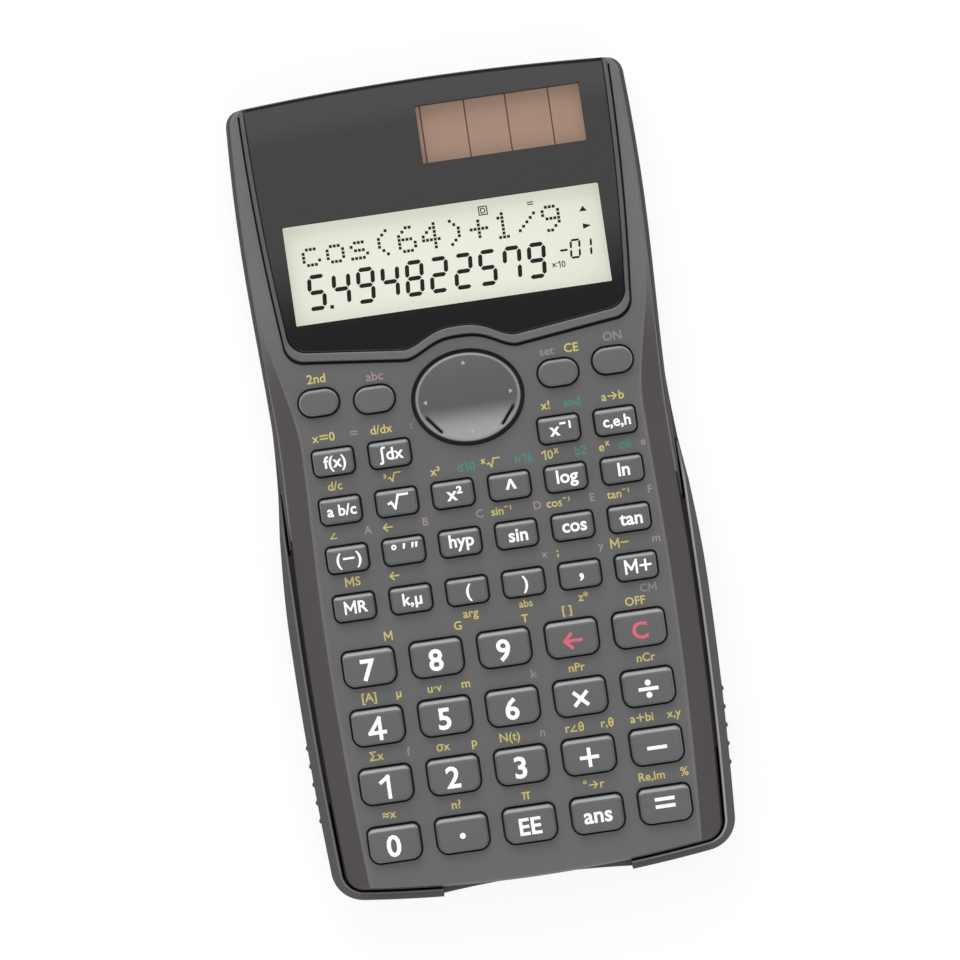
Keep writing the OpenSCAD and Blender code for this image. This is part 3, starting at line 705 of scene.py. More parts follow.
# Letters drawn as strokes: corner points of each line
STROKES = {
    "+": [[(-0.27, 0.35), (0.27, 0.35)], [(0.0, 0.08), (0.0, 0.62)]],
    "−": [[(-0.28, 0.35), (0.28, 0.35)]],
    "×": [[(-0.19, 0.16), (0.19, 0.54)], [(-0.19, 0.54), (0.19, 0.16)]],
    "4": [[(0.12, 0.0), (0.12, 0.67), (-0.23, 0.2), (0.27, 0.2)]],
    "÷": [[(-0.28, 0.35), (0.28, 0.35)], ring(0.05, 0.05, 0.56), ring(0.05, 0.05, 0.14)],
    "=": [[(-0.28, 0.475), (0.28, 0.475)], [(-0.28, 0.225), (0.28, 0.225)]],
    "θ": [ring(0.34, 0.66, 0.34), [(-0.15, 0.34), (0.15, 0.34)]],
    "ˣ": [[(-0.11, 0.42), (0.11, 0.72)], [(-0.11, 0.72), (0.11, 0.42)]],
    "1": [[(-0.2, 0.52), (0.04, 0.68), (0.04, 0.0)]],
    "M": [[(-0.3, 0.0), (-0.3, 0.68), (0.0, 0.2), (0.3, 0.68), (0.3, 0.0)]],
    "√": [[(-0.42, 0.3), (-0.28, 0.36), (-0.1, 0.02), (0.12, 0.72), (0.62, 0.72)]],
    "π": [[(-0.28, 0.46), (0.28, 0.46)], [(-0.12, 0.46), (-0.16, 0.0)], [(0.13, 0.46), (0.15, 0.0)]],
}


def strokes(letter, bold):
    """Points and faces of a letter made of flat bars, one along each line between two corner points.

    Each bar is a thousandth higher than the one before, so that no two tops lie in one plane.
    """
    ends = np.array([pair for line in STROKES[letter] for pair in zip(line[:-1], line[1:])])
    along = ends[:, 1] - ends[:, 0]
    along = along / np.linalg.norm(along, axis=1)[:, None] * (STROKE_W + bold) / 2
    across = np.stack([-along[:, 1], along[:, 0]], -1)
    start = ends[:, 0] - along
    stop = ends[:, 1] + along
    shapes = np.stack([start - across, stop - across, stop + across, start + across], 1)
    bars = Skin()
    bars.boxes(shapes, -LETTER_HALF, LETTER_HALF)
    points = np.concatenate(bars.points)
    step = np.repeat(np.arange(len(ends)), 8) * 0.001
    points[:, 2] += step * (points[:, 2] > 0)
    return points, bars.faces


def bolder(flat, start, stop, bold):
    """Outlines moved away from their fill: each corner goes along the sum of its two edges' normals.

    The sum is scaled so that both edges move by the same step.
    """
    first, last = flat[start], flat[stop]
    along = last - first
    along = along / np.maximum(np.linalg.norm(along, axis=1), 1e-9)[:, None]
    normal = np.stack([along[:, 1], -along[:, 0]], -1)
    filled = turns((first + last) / 2 + normal * 1e-4, first, last) != 0
    normal[filled] *= -1
    both = np.zeros_like(flat)
    np.add.at(both, start, normal)
    np.add.at(both, stop, normal)
    return flat + bold * 2 * both / np.maximum((both ** 2).sum(axis=1), 1.0)[:, None]


def letters(body, bold):
    """Points and faces of a line of text, one unit to a line's height, a little thick.

    Triangles fill the letters' outlines. The fill is the floor and the lid, and each of its edges that
    has no other triangle beside it carries a side.
    """
    curve = bpy.data.curves.new("mark", "FONT")
    curve.body = body
    curve.resolution_u = 3
    curve.fill_mode = "NONE"
    line = bpy.data.objects.new("mark", curve)
    bpy.context.scene.collection.objects.link(line)
    bpy.context.view_layer.update()
    mesh = line.evaluated_get(bpy.context.evaluated_depsgraph_get()).to_mesh()
    outline = np.empty(len(mesh.vertices) * 3)
    mesh.vertices.foreach_get("co", outline)
    bounds = np.empty(len(mesh.edges) * 2, np.int32)
    mesh.edges.foreach_get("vertices", bounds)
    bpy.data.objects.remove(line)
    bpy.data.curves.remove(curve)
    if not len(outline):
        raise RuntimeError("the mark %r has no letters" % body)
    bounds = bounds.reshape(-1, 2)
    start, stop = bounds.T
    outline = bolder(outline.reshape(-1, 3)[:, :2], start, stop, bold)
    flat, fill = triangulated(outline, bounds)
    fill = fill[turns(flat[fill].mean(axis=1), outline[start], outline[stop]) != 0]
    count = len(flat)
    edges = np.concatenate([fill[:, [0, 1]], fill[:, [1, 2]], fill[:, [2, 0]]])
    a, b = edges[~np.isin(edges @ [count, 1], edges @ [1, count])].T
    sides = np.stack([a, b, b + count, a + count], -1)
    points = np.concatenate([raised(flat, -LETTER_HALF), raised(flat, LETTER_HALF)])
    return points, fill[:, ::-1].tolist() + (fill + count).tolist() + sides.tolist()


def rectangle_loop(mid, width, depth, radius=0.3):
    """Rounded rectangle about a place."""
    return cap_loop(width, depth, radius, radius) + np.asarray(mid[:2])


def key_hole(node, grow):
    """Outline of a key's hole, grown from the key's own outline."""
    width, depth, high, low = KEY_SIZE[key_kind(node)]
    mid = sum(corners(node)) / 2
    return cap_loop(width + 2 * grow, depth + 2 * grow, high + grow, low + grow) + mid[:2]


def pad_hole(grow):
    """Outline of the arrow pad's hole."""
    return ellipse_loop(PAD_W + 2 * grow, PAD_H + 2 * grow) + PAD_MID[:2]


class CALCULATOR_OT_stage(bpy.types.Operator):
    """Floor, soft lamps and the camera that looks straight down"""
    bl_idname = "calculator.stage"
    bl_label = "Stage"

    def execute(self, context):
        looks = context.scene.calculator_stage
        mesh = bpy.data.meshes.new("floor")
        mesh.from_pydata(raised(square(1.5), -1e-4).tolist(), [], [(0, 1, 2, 3)])
        floor = bpy.data.objects.new("floor", mesh)
        context.scene.collection.objects.link(floor)
        finish = Finish("pale floor", 0.9)
        at = finish.place()[0]
        paper = finish.noise(at, 400.0, 3.0)
        finish.colour(finish.mix(paper, shade(looks.floor, 0.99), looks.floor))
        finish.shader.inputs["Specular IOR Level"].default_value = 0.0
        path = finish.node("ShaderNodeLightPath")
        outs = path.socket.node.outputs
        seen = Value(finish, outs["Is Camera Ray"]) + Value(finish, outs["Is Glossy Ray"])
        seen = seen + Value(finish, outs["Is Transmission Ray"])
        glow = finish.node("ShaderNodeEmission", inputs={"Color": (1, 1, 1), "Strength": 1.0})
        surface = Value(finish, finish.shader.outputs[0])
        blend = finish.node("ShaderNodeMixShader", inputs={0: seen * 0.88, 1: surface, 2: glow})
        finish.tree.links.new(blend.socket, finish.tree.nodes["Material Output"].inputs["Surface"])
        mesh.materials.append(finish.material)

        world = bpy.data.worlds.new("studio")
        world.use_nodes = True
        world.node_tree.nodes["Background"].inputs["Color"].default_value = (1, 1, 1, 1)
        world.node_tree.nodes["Background"].inputs["Strength"].default_value = 0.62
        context.scene.world = world
        self.lamp("lamp over display", (-0.10, 0.75, 0.62), 0.7, 6.5)
        self.lamp("lamp over keys", (0.05, -0.5, 0.85), 0.8, 3.0)

        camera = bpy.data.objects.new("camera", bpy.data.cameras.new("camera"))
        camera.data.sensor_width = 36.0
        camera.data.lens = 200.0
        camera.data.clip_end = 10.0
        height = looks.field * camera.data.lens / camera.data.sensor_width
        camera.location = (0.0, 0.0, Z_FACE * MM + height)
        camera.rotation_euler = (0.0, 0.0, looks.turn)
        context.scene.collection.objects.link(camera)
        context.scene.camera = camera
        context.scene.view_settings.view_transform = "Standard"
        return {"FINISHED"}

    def lamp(self, name, place, size, power):
        """Square area lamp that faces the object."""
        light = bpy.data.lights.new(name, "AREA")
        light.size = size
        light.energy = power
        lamp = bpy.data.objects.new(name, light)
        lamp.location = place
        lamp.rotation_euler = (-Vector(place)).to_track_quat("-Z", "Y").to_euler()
        bpy.context.scene.collection.objects.link(lamp)


# Finishes of the front shell, in the order of its materials: face, flank (partly painted shade of the
# slope), near-black recess (painted shade), display frame and edge highlight (painted highlight)
FACE, FLANK, WELL_SHADE, BEZEL, CREST_HIGHLIGHT = range(5)


class CALCULATOR_OT_front_shell(bpy.types.Operator):
    """Front shell with its flanks, pierced face, groove and display frame"""
    bl_idname = "calculator.front_shell"
    bl_label = "Front shell"

    def execute(self, context):
        looks = context.scene.calculator_shell
        gap = looks.hole_gap / MM
        lip = looks.lip / MM
        skin = Skin()
        foot = body_loop(0, FRONT)
        brink = body_loop(EDGE_IN, FRONT, 1)

        def slope(share):
            return foot + share * (brink - foot)

        end = (foot[:, 1] > Y_TOP - 4.0) & (np.abs(foot[:, 0]) < DECK_TOP - 0.5)
        covered = foot[:, 1] < Y_COVERED
        # Painted shade: the display end of the shell takes the near-black recess finish
        side = np.where(end, WELL_SHADE, FLANK)
        low_edge = (foot, Z_EDGE - 0.35)
        high_edge = (slope(0.09), Z_EDGE + 0.25)
        flank_end = (brink, Z_FACE - 0.06)
        face_edge = slope(1.13)
        skin.strip([(body_loop(WALL_HIGH), Z_UNDER), (body_loop(WALL_HIGH), Z_STEP),
                    (body_loop(WALL_LOW), Z_STEP), (body_loop(WALL_LOW), Z_SPLIT),
                    (body_loop(0.3, FRONT), Z_SPLIT), (body_loop(0.08, FRONT), Z_SPLIT + 0.08),
                    (foot, Z_SPLIT + 0.3), low_edge], side)
        # Foot edge: near-black painted shade where the cover reaches and at the display end, painted
        # highlight above
        skin.strip([low_edge, (slope(0.012), Z_EDGE - 0.12), (slope(0.05), Z_EDGE + 0.14), high_edge],
                   np.where(covered | end, WELL_SHADE, CREST_HIGHLIGHT))
        skin.strip([high_edge, (slope(0.3), Z_EDGE + 0.84), (slope(0.6), Z_EDGE + 1.68),
                    (slope(0.9), Z_EDGE + 2.52), (slope(0.96), Z_FACE - 0.15), flank_end], side)
        # Top edge between flank and face: painted highlight
        skin.strip([flank_end, (slope(1.05), Z_FACE - 0.01), (slope(1.1), Z_FACE), (face_edge, Z_FACE)],
                   np.where(end, WELL_SHADE, CREST_HIGHLIGHT))

        def deck(out):
            """Outline round the deck, with a groove that is finer along the sides."""
            return deck_loop(-out * (0.65 if out > 0 else 1.0), -out, 1.5 + 0.3 * (DECK_GROOVE - out))

        recess = deck(-0.5)
        # The deck's groove and recess take the near-black recess finish: painted shade
        skin.strip([(deck(DECK_GROOVE), Z_FACE), (deck(0.56), Z_FACE), (deck(0.45), Z_FACE - 0.08),
                    (deck(0.4), Z_FACE - 0.25), (deck(0.36), Z_FACE - 0.8), (recess, Z_FACE - 0.8),
                    (recess, Z_SHELF)], WELL_SHADE)
        field = rectangle_loop(LCD_MID, LCD_W, LCD_H)
        cells = rectangle_loop(SOLAR_MID, SOLAR_W, SOLAR_H)
        skin.plate(recess, [field, cells], Z_SHELF, WELL_SHADE)
        skin.strip([(field, Z_SHELF), (field, Z_UNDER)], WELL_SHADE)
        skin.strip([(cells, Z_SHELF), (cells, Z_UNDER)], WELL_SHADE)

        holes = []
        walls = []
        turn = np.radians(np.linspace(0, 90, 6))
        for outline in [lambda grow, n=n: key_hole(n, grow) for n in KEY_NODES] + [self.pad_outline(gap)]:
            rows = [(outline(gap + lip + 0.05), Z_FACE)]
            rows += [(outline(gap + lip - lip * np.sin(t)), Z_FACE - lip + lip * np.cos(t)) for t in turn]
            rows += [(outline(gap), Z_FACE - 0.9), (outline(gap), Z_UNDER)]
            skin.strip(rows[:4], FACE)
            # Painted shade: the hole's wall below the lip is near black
            skin.strip(rows[3:], WELL_SHADE)
            holes.append(rows[0][0])
            walls.append(rows[-1][0])
        skin.plate(face_edge, [deck(DECK_GROOVE)] + holes, Z_FACE, FACE)
        skin.plate(body_loop(WALL_HIGH), [field, cells] + walls, Z_UNDER, WELL_SHADE)

        outer = deck_half(0, 0, DECK_END + 0.15)
        inner = deck_half(FRAME_SIDE, FRAME_LOW, DECK_END + 0.15)
        sink = 0.5 * smooth((outer[:, 1] - (Y_TOP - 6.0)) / 5.0)
        bar = [(0, 1.7), (0, 0.3), (0.03, 0.13), (0.1, 0.03), (0.2, 0), (0.8, 0), (0.92, 0.03), (0.98, 0.1),
               (1, 0.25), (1, 1.7)]
        rows = np.stack([raised(outer + share * (inner - outer), Z_DECK - drop - sink * (drop < 1))
                         for share, drop in bar])
        rows = np.concatenate([rows[:, :0:-1] * [-1, 1, 1], rows], axis=1)
        skin.grid(rows, BEZEL, closed=False, ring=True)
        skin.add(rows[:, 0], [range(len(bar))], BEZEL)
        skin.add(rows[:, -1], [range(len(bar))], BEZEL)
        # Lighter towards the display end: painted light
        face = moulded_plastic("grey face", looks.face, 0.46, 2400.0, 5e-6,
                               fade=("y", Y_DECK, Y_DECK + 14.0, 1.2))
        # Darker than the face: partly the flank's own brownish tone, partly painted shade of the slope
        flank = moulded_plastic("brown flank", looks.flank, 0.5, 2400.0, 6e-6)
        # Near-black painted shade for hole walls, the deck groove, recesses, the gap by the cover and the
        # display end
        well_shade = moulded_plastic("recess painted shade", (0.006, 0.006, 0.006), 0.7, 1800.0, 4e-6)
        rim = moulded_plastic("display frame", shade(looks.face, 1.08), 0.42, 2400.0, 4e-6,
                              fade=("y", Y_DECK + 3.0, Y_DECK + 9.0, 0.72))
        # Lighter copy of the face colour: painted highlight along the top and foot edges of the flank
        crest_highlight = moulded_plastic("edge with painted highlight", shade(looks.face, 1.18), 0.42, 2400.0, 4e-6)
        piece = skin.build("front_shell", [face, flank, well_shade, rim, crest_highlight], "calculator")
        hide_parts("front_case")
        return {"FINISHED"}

    def pad_outline(self, gap):
        """Outline of the arrow pad's hole as a function of its growth past the usual gap."""
        return lambda grow: pad_hole(PAD_GAP + grow - gap)


class CALCULATOR_OT_window(bpy.types.Operator):
    """Glossy window, tinted except over the liquid crystal and the solar cells"""
    bl_idname = "calculator.window"
    bl_label = "Display window"

    def execute(self, context):
        looks = context.scene.calculator_display
        skin = Skin()
        edge = deck_loop(1.0, 1.8, DECK_END)

        def scaled(share):
            return WINDOW_MID + share * (edge - WINDOW_MID)

        def from_end(loop):
            return Y_TOP - TOP_BOW * (loop[:, 0] / BODY) ** 2 - loop[:, 1]

        def height(loop):
            roll = np.clip(1 - (from_end(loop) - DECK_END) / 4.0, 0, None)
            return Z_DECK - 0.2 * roll ** 2

        under = np.where(from_end(edge) < 3.0, Z_FACE + 0.03, Z_LEDGE)
        rows = [(scaled(share), Z_LEDGE) for share in (0.0, 0.5, 0.91)]
        rows += [(scaled(0.92), under), (scaled(0.995), under), (edge, under + 0.05),
                 (edge, height(edge) - 0.14)]
        for share, drop in ((0.9985, 0.05), (0.995, 0.01)):
            rows.append((scaled(share), height(scaled(share)) - drop))
        for share in np.concatenate([np.linspace(0.99, 0.84, 16), [0.8, 0.7, 0.5, 0.2, 0.0]]):
            rows.append((scaled(share), height(scaled(share))))
        skin.strip(rows)
        piece = skin.build("window_pane", [self.material(looks)], "calculator", 30)
        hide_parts("display_window")
        return {"FINISHED"}

    def material(self, looks):
        """Black backing print with two clear fields, lighter towards the display end as a painted
        reflection, with a painted highlight band and painted shade along the very end.
        """
        finish = Finish("window gloss", 0.07, Specular_IOR_Level=0.26)
        at, x, y = finish.place()[:3]
        clear = self.field(x, y, LCD_MID, LCD_W, LCD_H)
        cells = self.field(x, y, SOLAR_MID, SOLAR_W, SOLAR_H)
        # Painted reflection: darker below the liquid crystal, lighter towards the display end
        painted_reflection_grade = y.ramp((LCD_MID[1] - 13.0) * MM, (LCD_MID[1] + 6.0) * MM)
        tint = finish.mix(painted_reflection_grade, looks.window_low, looks.window)
        bowed = y + x * x * (TOP_BOW / (BODY * BODY * MM))
        # Painted highlight in a band near the display end
        sheen = bowed.ramp((Y_TOP - 10.0) * MM, (Y_TOP - 3.5) * MM)
        # Painted shade, near black, along the very end where the window rolls over
        painted_end_shade = bowed.ramp((Y_TOP - 1.2) * MM, (Y_TOP - 0.75) * MM)
        tint = finish.mix(sheen * (1 - painted_end_shade) * 0.4, tint, shade(looks.window, 1.9))
        tint = finish.mix(painted_end_shade, tint, shade(looks.window, 0.05))
        specks = finish.noise(at, 900.0, 2.0)
        finish.colour(tint)
        finish.rough(0.06 + specks * 0.05)
        finish.feed(finish.shader.inputs["Alpha"], 1 - (clear + cells) * 0.96)
        finish.material.surface_render_method = "BLENDED"
        return finish.material

    def field(self, x, y, mid, width, depth):
        """1 inside a rectangle and 0 outside."""
        across = abs(x - mid[0] * MM) < width / 2 * MM
        along = abs(y - mid[1] * MM) < depth / 2 * MM
        return across * along


# Display: share of a segment's length that is dark, lean of the digits and half of a dot's width in pitches
SEGMENT_GAP = 0.97
LEAN = 0.09
DOT_HALF = 0.38
SEGMENTS = {"0": "abcdef", "1": "bc", "2": "abged", "3": "abgcd", "4": "fgbc", "5": "afgcd", "6": "afgedc",
            "7": "fabc", "8": "abcdefg", "9": "abcdfg", "-": "g"}
DOTS = {
    "c": ("00000", "00000", "01110", "10000", "10000", "10001", "01110"),
    "o": ("00000", "00000", "01110", "10001", "10001", "10001", "01110"),
    "s": ("00000", "00000", "01110", "10000", "01110", "00001", "11110"),
    "(": ("00010", "00100", "01000", "01000", "01000", "00100", "00010"),
    ")": ("01000", "00100", "00010", "00010", "00010", "00100", "01000"),
    "6": ("00110", "01000", "10000", "11110", "10001", "10001", "01110"),
    "4": ("00010", "00110", "01010", "10010", "11111", "00010", "00010"),
    "+": ("00000", "00100", "00100", "11111", "00100", "00100", "00000"),
    "1": ("00100", "01100", "00100", "00100", "00100", "00100", "01110"),
    "/": ("00000", "00001", "00010", "00100", "01000", "10000", "00000"),
    "9": ("01110", "10001", "10001", "01111", "00001", "00010", "01100"),
}


class CALCULATOR_OT_liquid_crystal(bpy.types.Operator):
    """Liquid crystal glass with a sum on its dotted line and the result in segments"""
    bl_idname = "calculator.liquid_crystal"
    bl_label = "Liquid crystal"

    def execute(self, context):
        looks = context.scene.calculator_display
        low, high = LCD_LOW, LCD_HIGH
        size = high - low
        skin = Skin()
        wide = rectangle_loop(LCD_MID, size[0], size[1], 0.2)
        step = rectangle_loop(LCD_MID, size[0], size[1] - 3.0, 0.2)
        middle = LCD_MID[:2]
        skin.strip([(middle + 0 * wide, low[2]), (wide, low[2]), (wide, LCD_MID[2]), (step, LCD_MID[2]),
                    (step, high[2] - 0.05), (middle + (step - middle) * 0.998, high[2]),
                    (middle + 0 * wide, high[2])])
        # The liquid crystal glows: painted light that evens out the shade cast by the frame
        glass = Finish("liquid crystal with painted glow", 0.5, Emission_Strength=0.74)
        at = glass.place()[0]
        grain = glass.noise(at, 3500.0, 2.0)
        clouds = glass.noise(at, 40.0, 1.0)
        glass.colour(glass.mottled(grain, looks.lcd, 0.34, 0.38))
        glass.glow(glass.mottled(grain * 0.5 + clouds * 0.5, looks.lcd, 0.95, 1.04))
        glass.rough(0.42 + grain * 0.15)
        piece = skin.build("lcd_panel", [glass.material], "calculator")
        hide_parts("lcd_glass")

        marks = Skin()
        top = high[2] + 0.03
        deep = high[2] - 0.05
        marks.boxes(self.dotted("cos(64)+1/9", middle + [-26.2, 4.1], 4.72, 0.76), deep, top)
        marks.boxes(self.digits("5494822579", middle + [-26.1, -3.6], 4.8, 3.65, 7.0, 0.82), deep, top)
        marks.boxes(self.digits("-01", middle + [22.6, -2.4], 2.25, 2.1, 3.8, 0.42), deep, top)
        marks.boxes((square(0.36) + middle + [-23.6, -6.8])[None], deep, top)
        arrows = np.array([[[-0.75, -0.4], [0.75, -0.4], [0, 0.65]],
                           [[-0.75, -0.55], [0.85, 0], [-0.75, 0.55]]])
        marks.boxes(arrows + middle + np.array([[[27.4, 5.0]], [[27.7, 1.7]]]), deep, top)
        frame_bars = np.array([[[-0.9, -0.9], [0.9, -0.9], [0.9, -0.7], [-0.9, -0.7]],
                               [[-0.9, 0.7], [0.9, 0.7], [0.9, 0.9], [-0.9, 0.9]],
                               [[-0.9, -0.7], [-0.7, -0.7], [-0.7, 0.7], [-0.9, 0.7]],
                               [[0.7, -0.7], [0.9, -0.7], [0.9, 0.7], [0.7, 0.7]]])
        marks.boxes(frame_bars + middle + [8.1, 7.5], deep, top)
        marks.text("D", 1.5, middle + [8.1, 7.5], deep, top)
        marks.text("×10", 1.7, middle + [21.2, -5.0], deep, top, bold=0.01)
        marks.text("=", 1.7, middle + [17.4, 7.6], deep, top)
        ink = Finish("dark segments", 0.7, Specular_IOR_Level=0.1)
        at = ink.place()[0]
        ink.colour(ink.mottled(ink.noise(at, 1200.0), looks.ink, 0.8, 1.6))
        piece = marks.build("lcd_segments", [ink.material], "calculator")
        return {"FINISHED"}

    def dotted(self, body, place, pitch, dot):
        """Square dots of a line of 5 by 7 letters, as an array of four-cornered outlines."""
        grids = np.array([[[int(c) for c in row] for row in DOTS[letter]] for letter in body])
        letter, row, column = np.nonzero(grids)
        centre = np.stack([letter * pitch + (column - 2) * dot, (3 - row) * dot], -1) + place
        return centre[:, None] + square(dot * DOT_HALF)

    def digits(self, body, place, pitch, width, height, stroke):
        """Six-cornered segments of leaning digits, as an array of outlines."""
        w, h, s = width / 2, height / 4, stroke / 2
        across = np.array([[-w + s, 0], [-w + 2 * s, s], [w - 2 * s, s], [w - s, 0], [w - 2 * s, -s],
                           [-w + 2 * s, -s]]) * [SEGMENT_GAP, 1]
        down = np.array([[0, -h + s], [s, -h + 2 * s], [s, h - 2 * s], [0, h - s], [-s, h - 2 * s],
                         [-s, -h + 2 * s]]) * [1, SEGMENT_GAP]
        right, up, end = w - s, h - s / 2, 2 * h - s
        bars = {"a": across + [0, end], "g": across, "d": across - [0, end], "f": down + [-right, up],
                "b": down + [right, up], "e": down - [right, up], "c": down + [right, -up]}
        shapes = np.array([bars[bar] + [i * pitch, 0] for i, digit in enumerate(body)
                           for bar in SEGMENTS[digit]])
        shapes[..., 0] += shapes[..., 1] * LEAN
        return shapes + place


class CALCULATOR_OT_solar(bpy.types.Operator):
    """Solar cells: brown strips on a dark glass"""
    bl_idname = "calculator.solar"
    bl_label = "Solar cells"

    def execute(self, context):
        looks = context.scene.calculator_display
        skin = Skin()
        size = SOLAR_HIGH - SOLAR_LOW
        middle = SOLAR_MID[:2]
        loop = rectangle_loop(SOLAR_MID, size[0], size[1], 0.2)
        top = SOLAR_HIGH[2]
        skin.strip([(middle + 0 * loop, SOLAR_LOW[2]), (loop, SOLAR_LOW[2]), (loop, top - 0.1),
                    (middle + (loop - middle) * 0.997, top - 0.05), (middle + 0 * loop, top - 0.05)], 0)
        stops = SOLAR_MID[0] + np.array([-16.4, -15.25, -6.6, 1.5, 9.9, 16.4])
        left = stops[:-1] + 0.14
        right = stops[1:] - 0.14
        half = SOLAR_H / 2 + 0.4
        corner_x = np.stack([left, right, right, left], -1)
        corner_y = np.broadcast_to(middle[1] + np.array([-half, -half, half, half]), corner_x.shape)
        skin.boxes(np.stack([corner_x, corner_y], -1), top - 0.08, top, 1)
        base = Finish("cell glass", 0.25)
        at = base.place()[0]
        base.colour(base.mix(base.noise(at, 300.0), (0.09, 0.05, 0.032), (0.12, 0.068, 0.044)))
        # The cells glow: painted light that evens out the shade cast by the frame
        cell = Finish("thin film cell with painted glow", 0.34, Coat_Weight=0.1, Emission_Strength=0.42)
        at = cell.place()[0]
        streaks = cell.noise(at, 120.0, 3.0, (6.0, 0.4, 1.0))
        fine = cell.noise(at, 2500.0, 1.0)
        cell.colour(cell.mottled(fine, looks.solar, 0.55, 0.65))
        cell.glow(cell.mottled(streaks * 0.6 + fine * 0.4, looks.solar, 0.9, 1.1))
        cell.rough(0.28 + fine * 0.14)
        piece = skin.build("solar_cells", [base.material, cell.material], "calculator")
        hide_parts("solar_panel")
        return {"FINISHED"}


# Finishes of a key and of the arrow pad, in the order of their materials
SATIN, INK, BROW_HIGHLIGHT, RUBBER = range(4)
PAD_INK, PAD_RUBBER = 1, 2
# Share of the brow's width on each kind of key
BROW_SHARE = {"digit": 1.0, "function": 0.75, "oval": 0.35}
# Marks on the keys: text and size in millimetres
KEY_MARKS = {
    **{"key_%d" % digit: (str(digit), 5.8) for digit in range(10)},
    "key_point": ("•", 4.0), "key_exp": ("EE", 4.6), "key_ans": ("ans", 4.3), "key_equals": ("=", 5.7),
    "key_plus": ("+", 5.7), "key_minus": ("−", 5.7), "key_times": ("×", 5.9), "key_divide": ("÷", 5.7),
    "key_delete": ("←", 5.0), "key_all_clear": ("C", 4.6),
    "key_recall": ("MR", 3.2), "key_engineering": ("k,µ", 3.3), "key_open_bracket": ("(", 3.5),
    "key_close_bracket": (")", 3.5), "key_comma": (",", 5.0), "key_memory": ("M+", 3.5),
    "key_negative": ("(−)", 3.3), "key_degrees": ("° ′ ″", 3.4), "key_hyperbolic": ("hyp", 3.5),
    "key_sine": ("sin", 3.6), "key_cosine": ("cos", 3.6), "key_tangent": ("tan", 3.6),
    "key_fraction": ("a b/c", 3.0), "key_root": ("√", 3.6), "key_square": ("x²", 3.7),
    "key_power": ("^", 4.6),
    "key_log": ("log", 3.6), "key_natural_log": ("ln", 3.6), "key_calculate": ("f(x)", 3.2),
    "key_integral": ("∫dx", 3.3), "key_reciprocal": ("x⁻¹", 3.6), "key_constant": ("c,e,h", 3.0),
}
# Places of the marks from the middle of the top: by kind of key, to the left for figures, down by key
MARK_SHIFT = {"digit": [0.0, 0.05], "function": [0.25, 0.35]}
FIGURE_LEFT = 0.24
MARK_DROP = {"key_equals": -0.75, "key_comma": -1.2, "key_power": 0.4, "key_ans": -0.3,
             "key_hyperbolic": -0.35, "key_log": -0.25, "key_sine": 0.15, "key_cosine": -0.15,
             "key_tangent": 0.1}


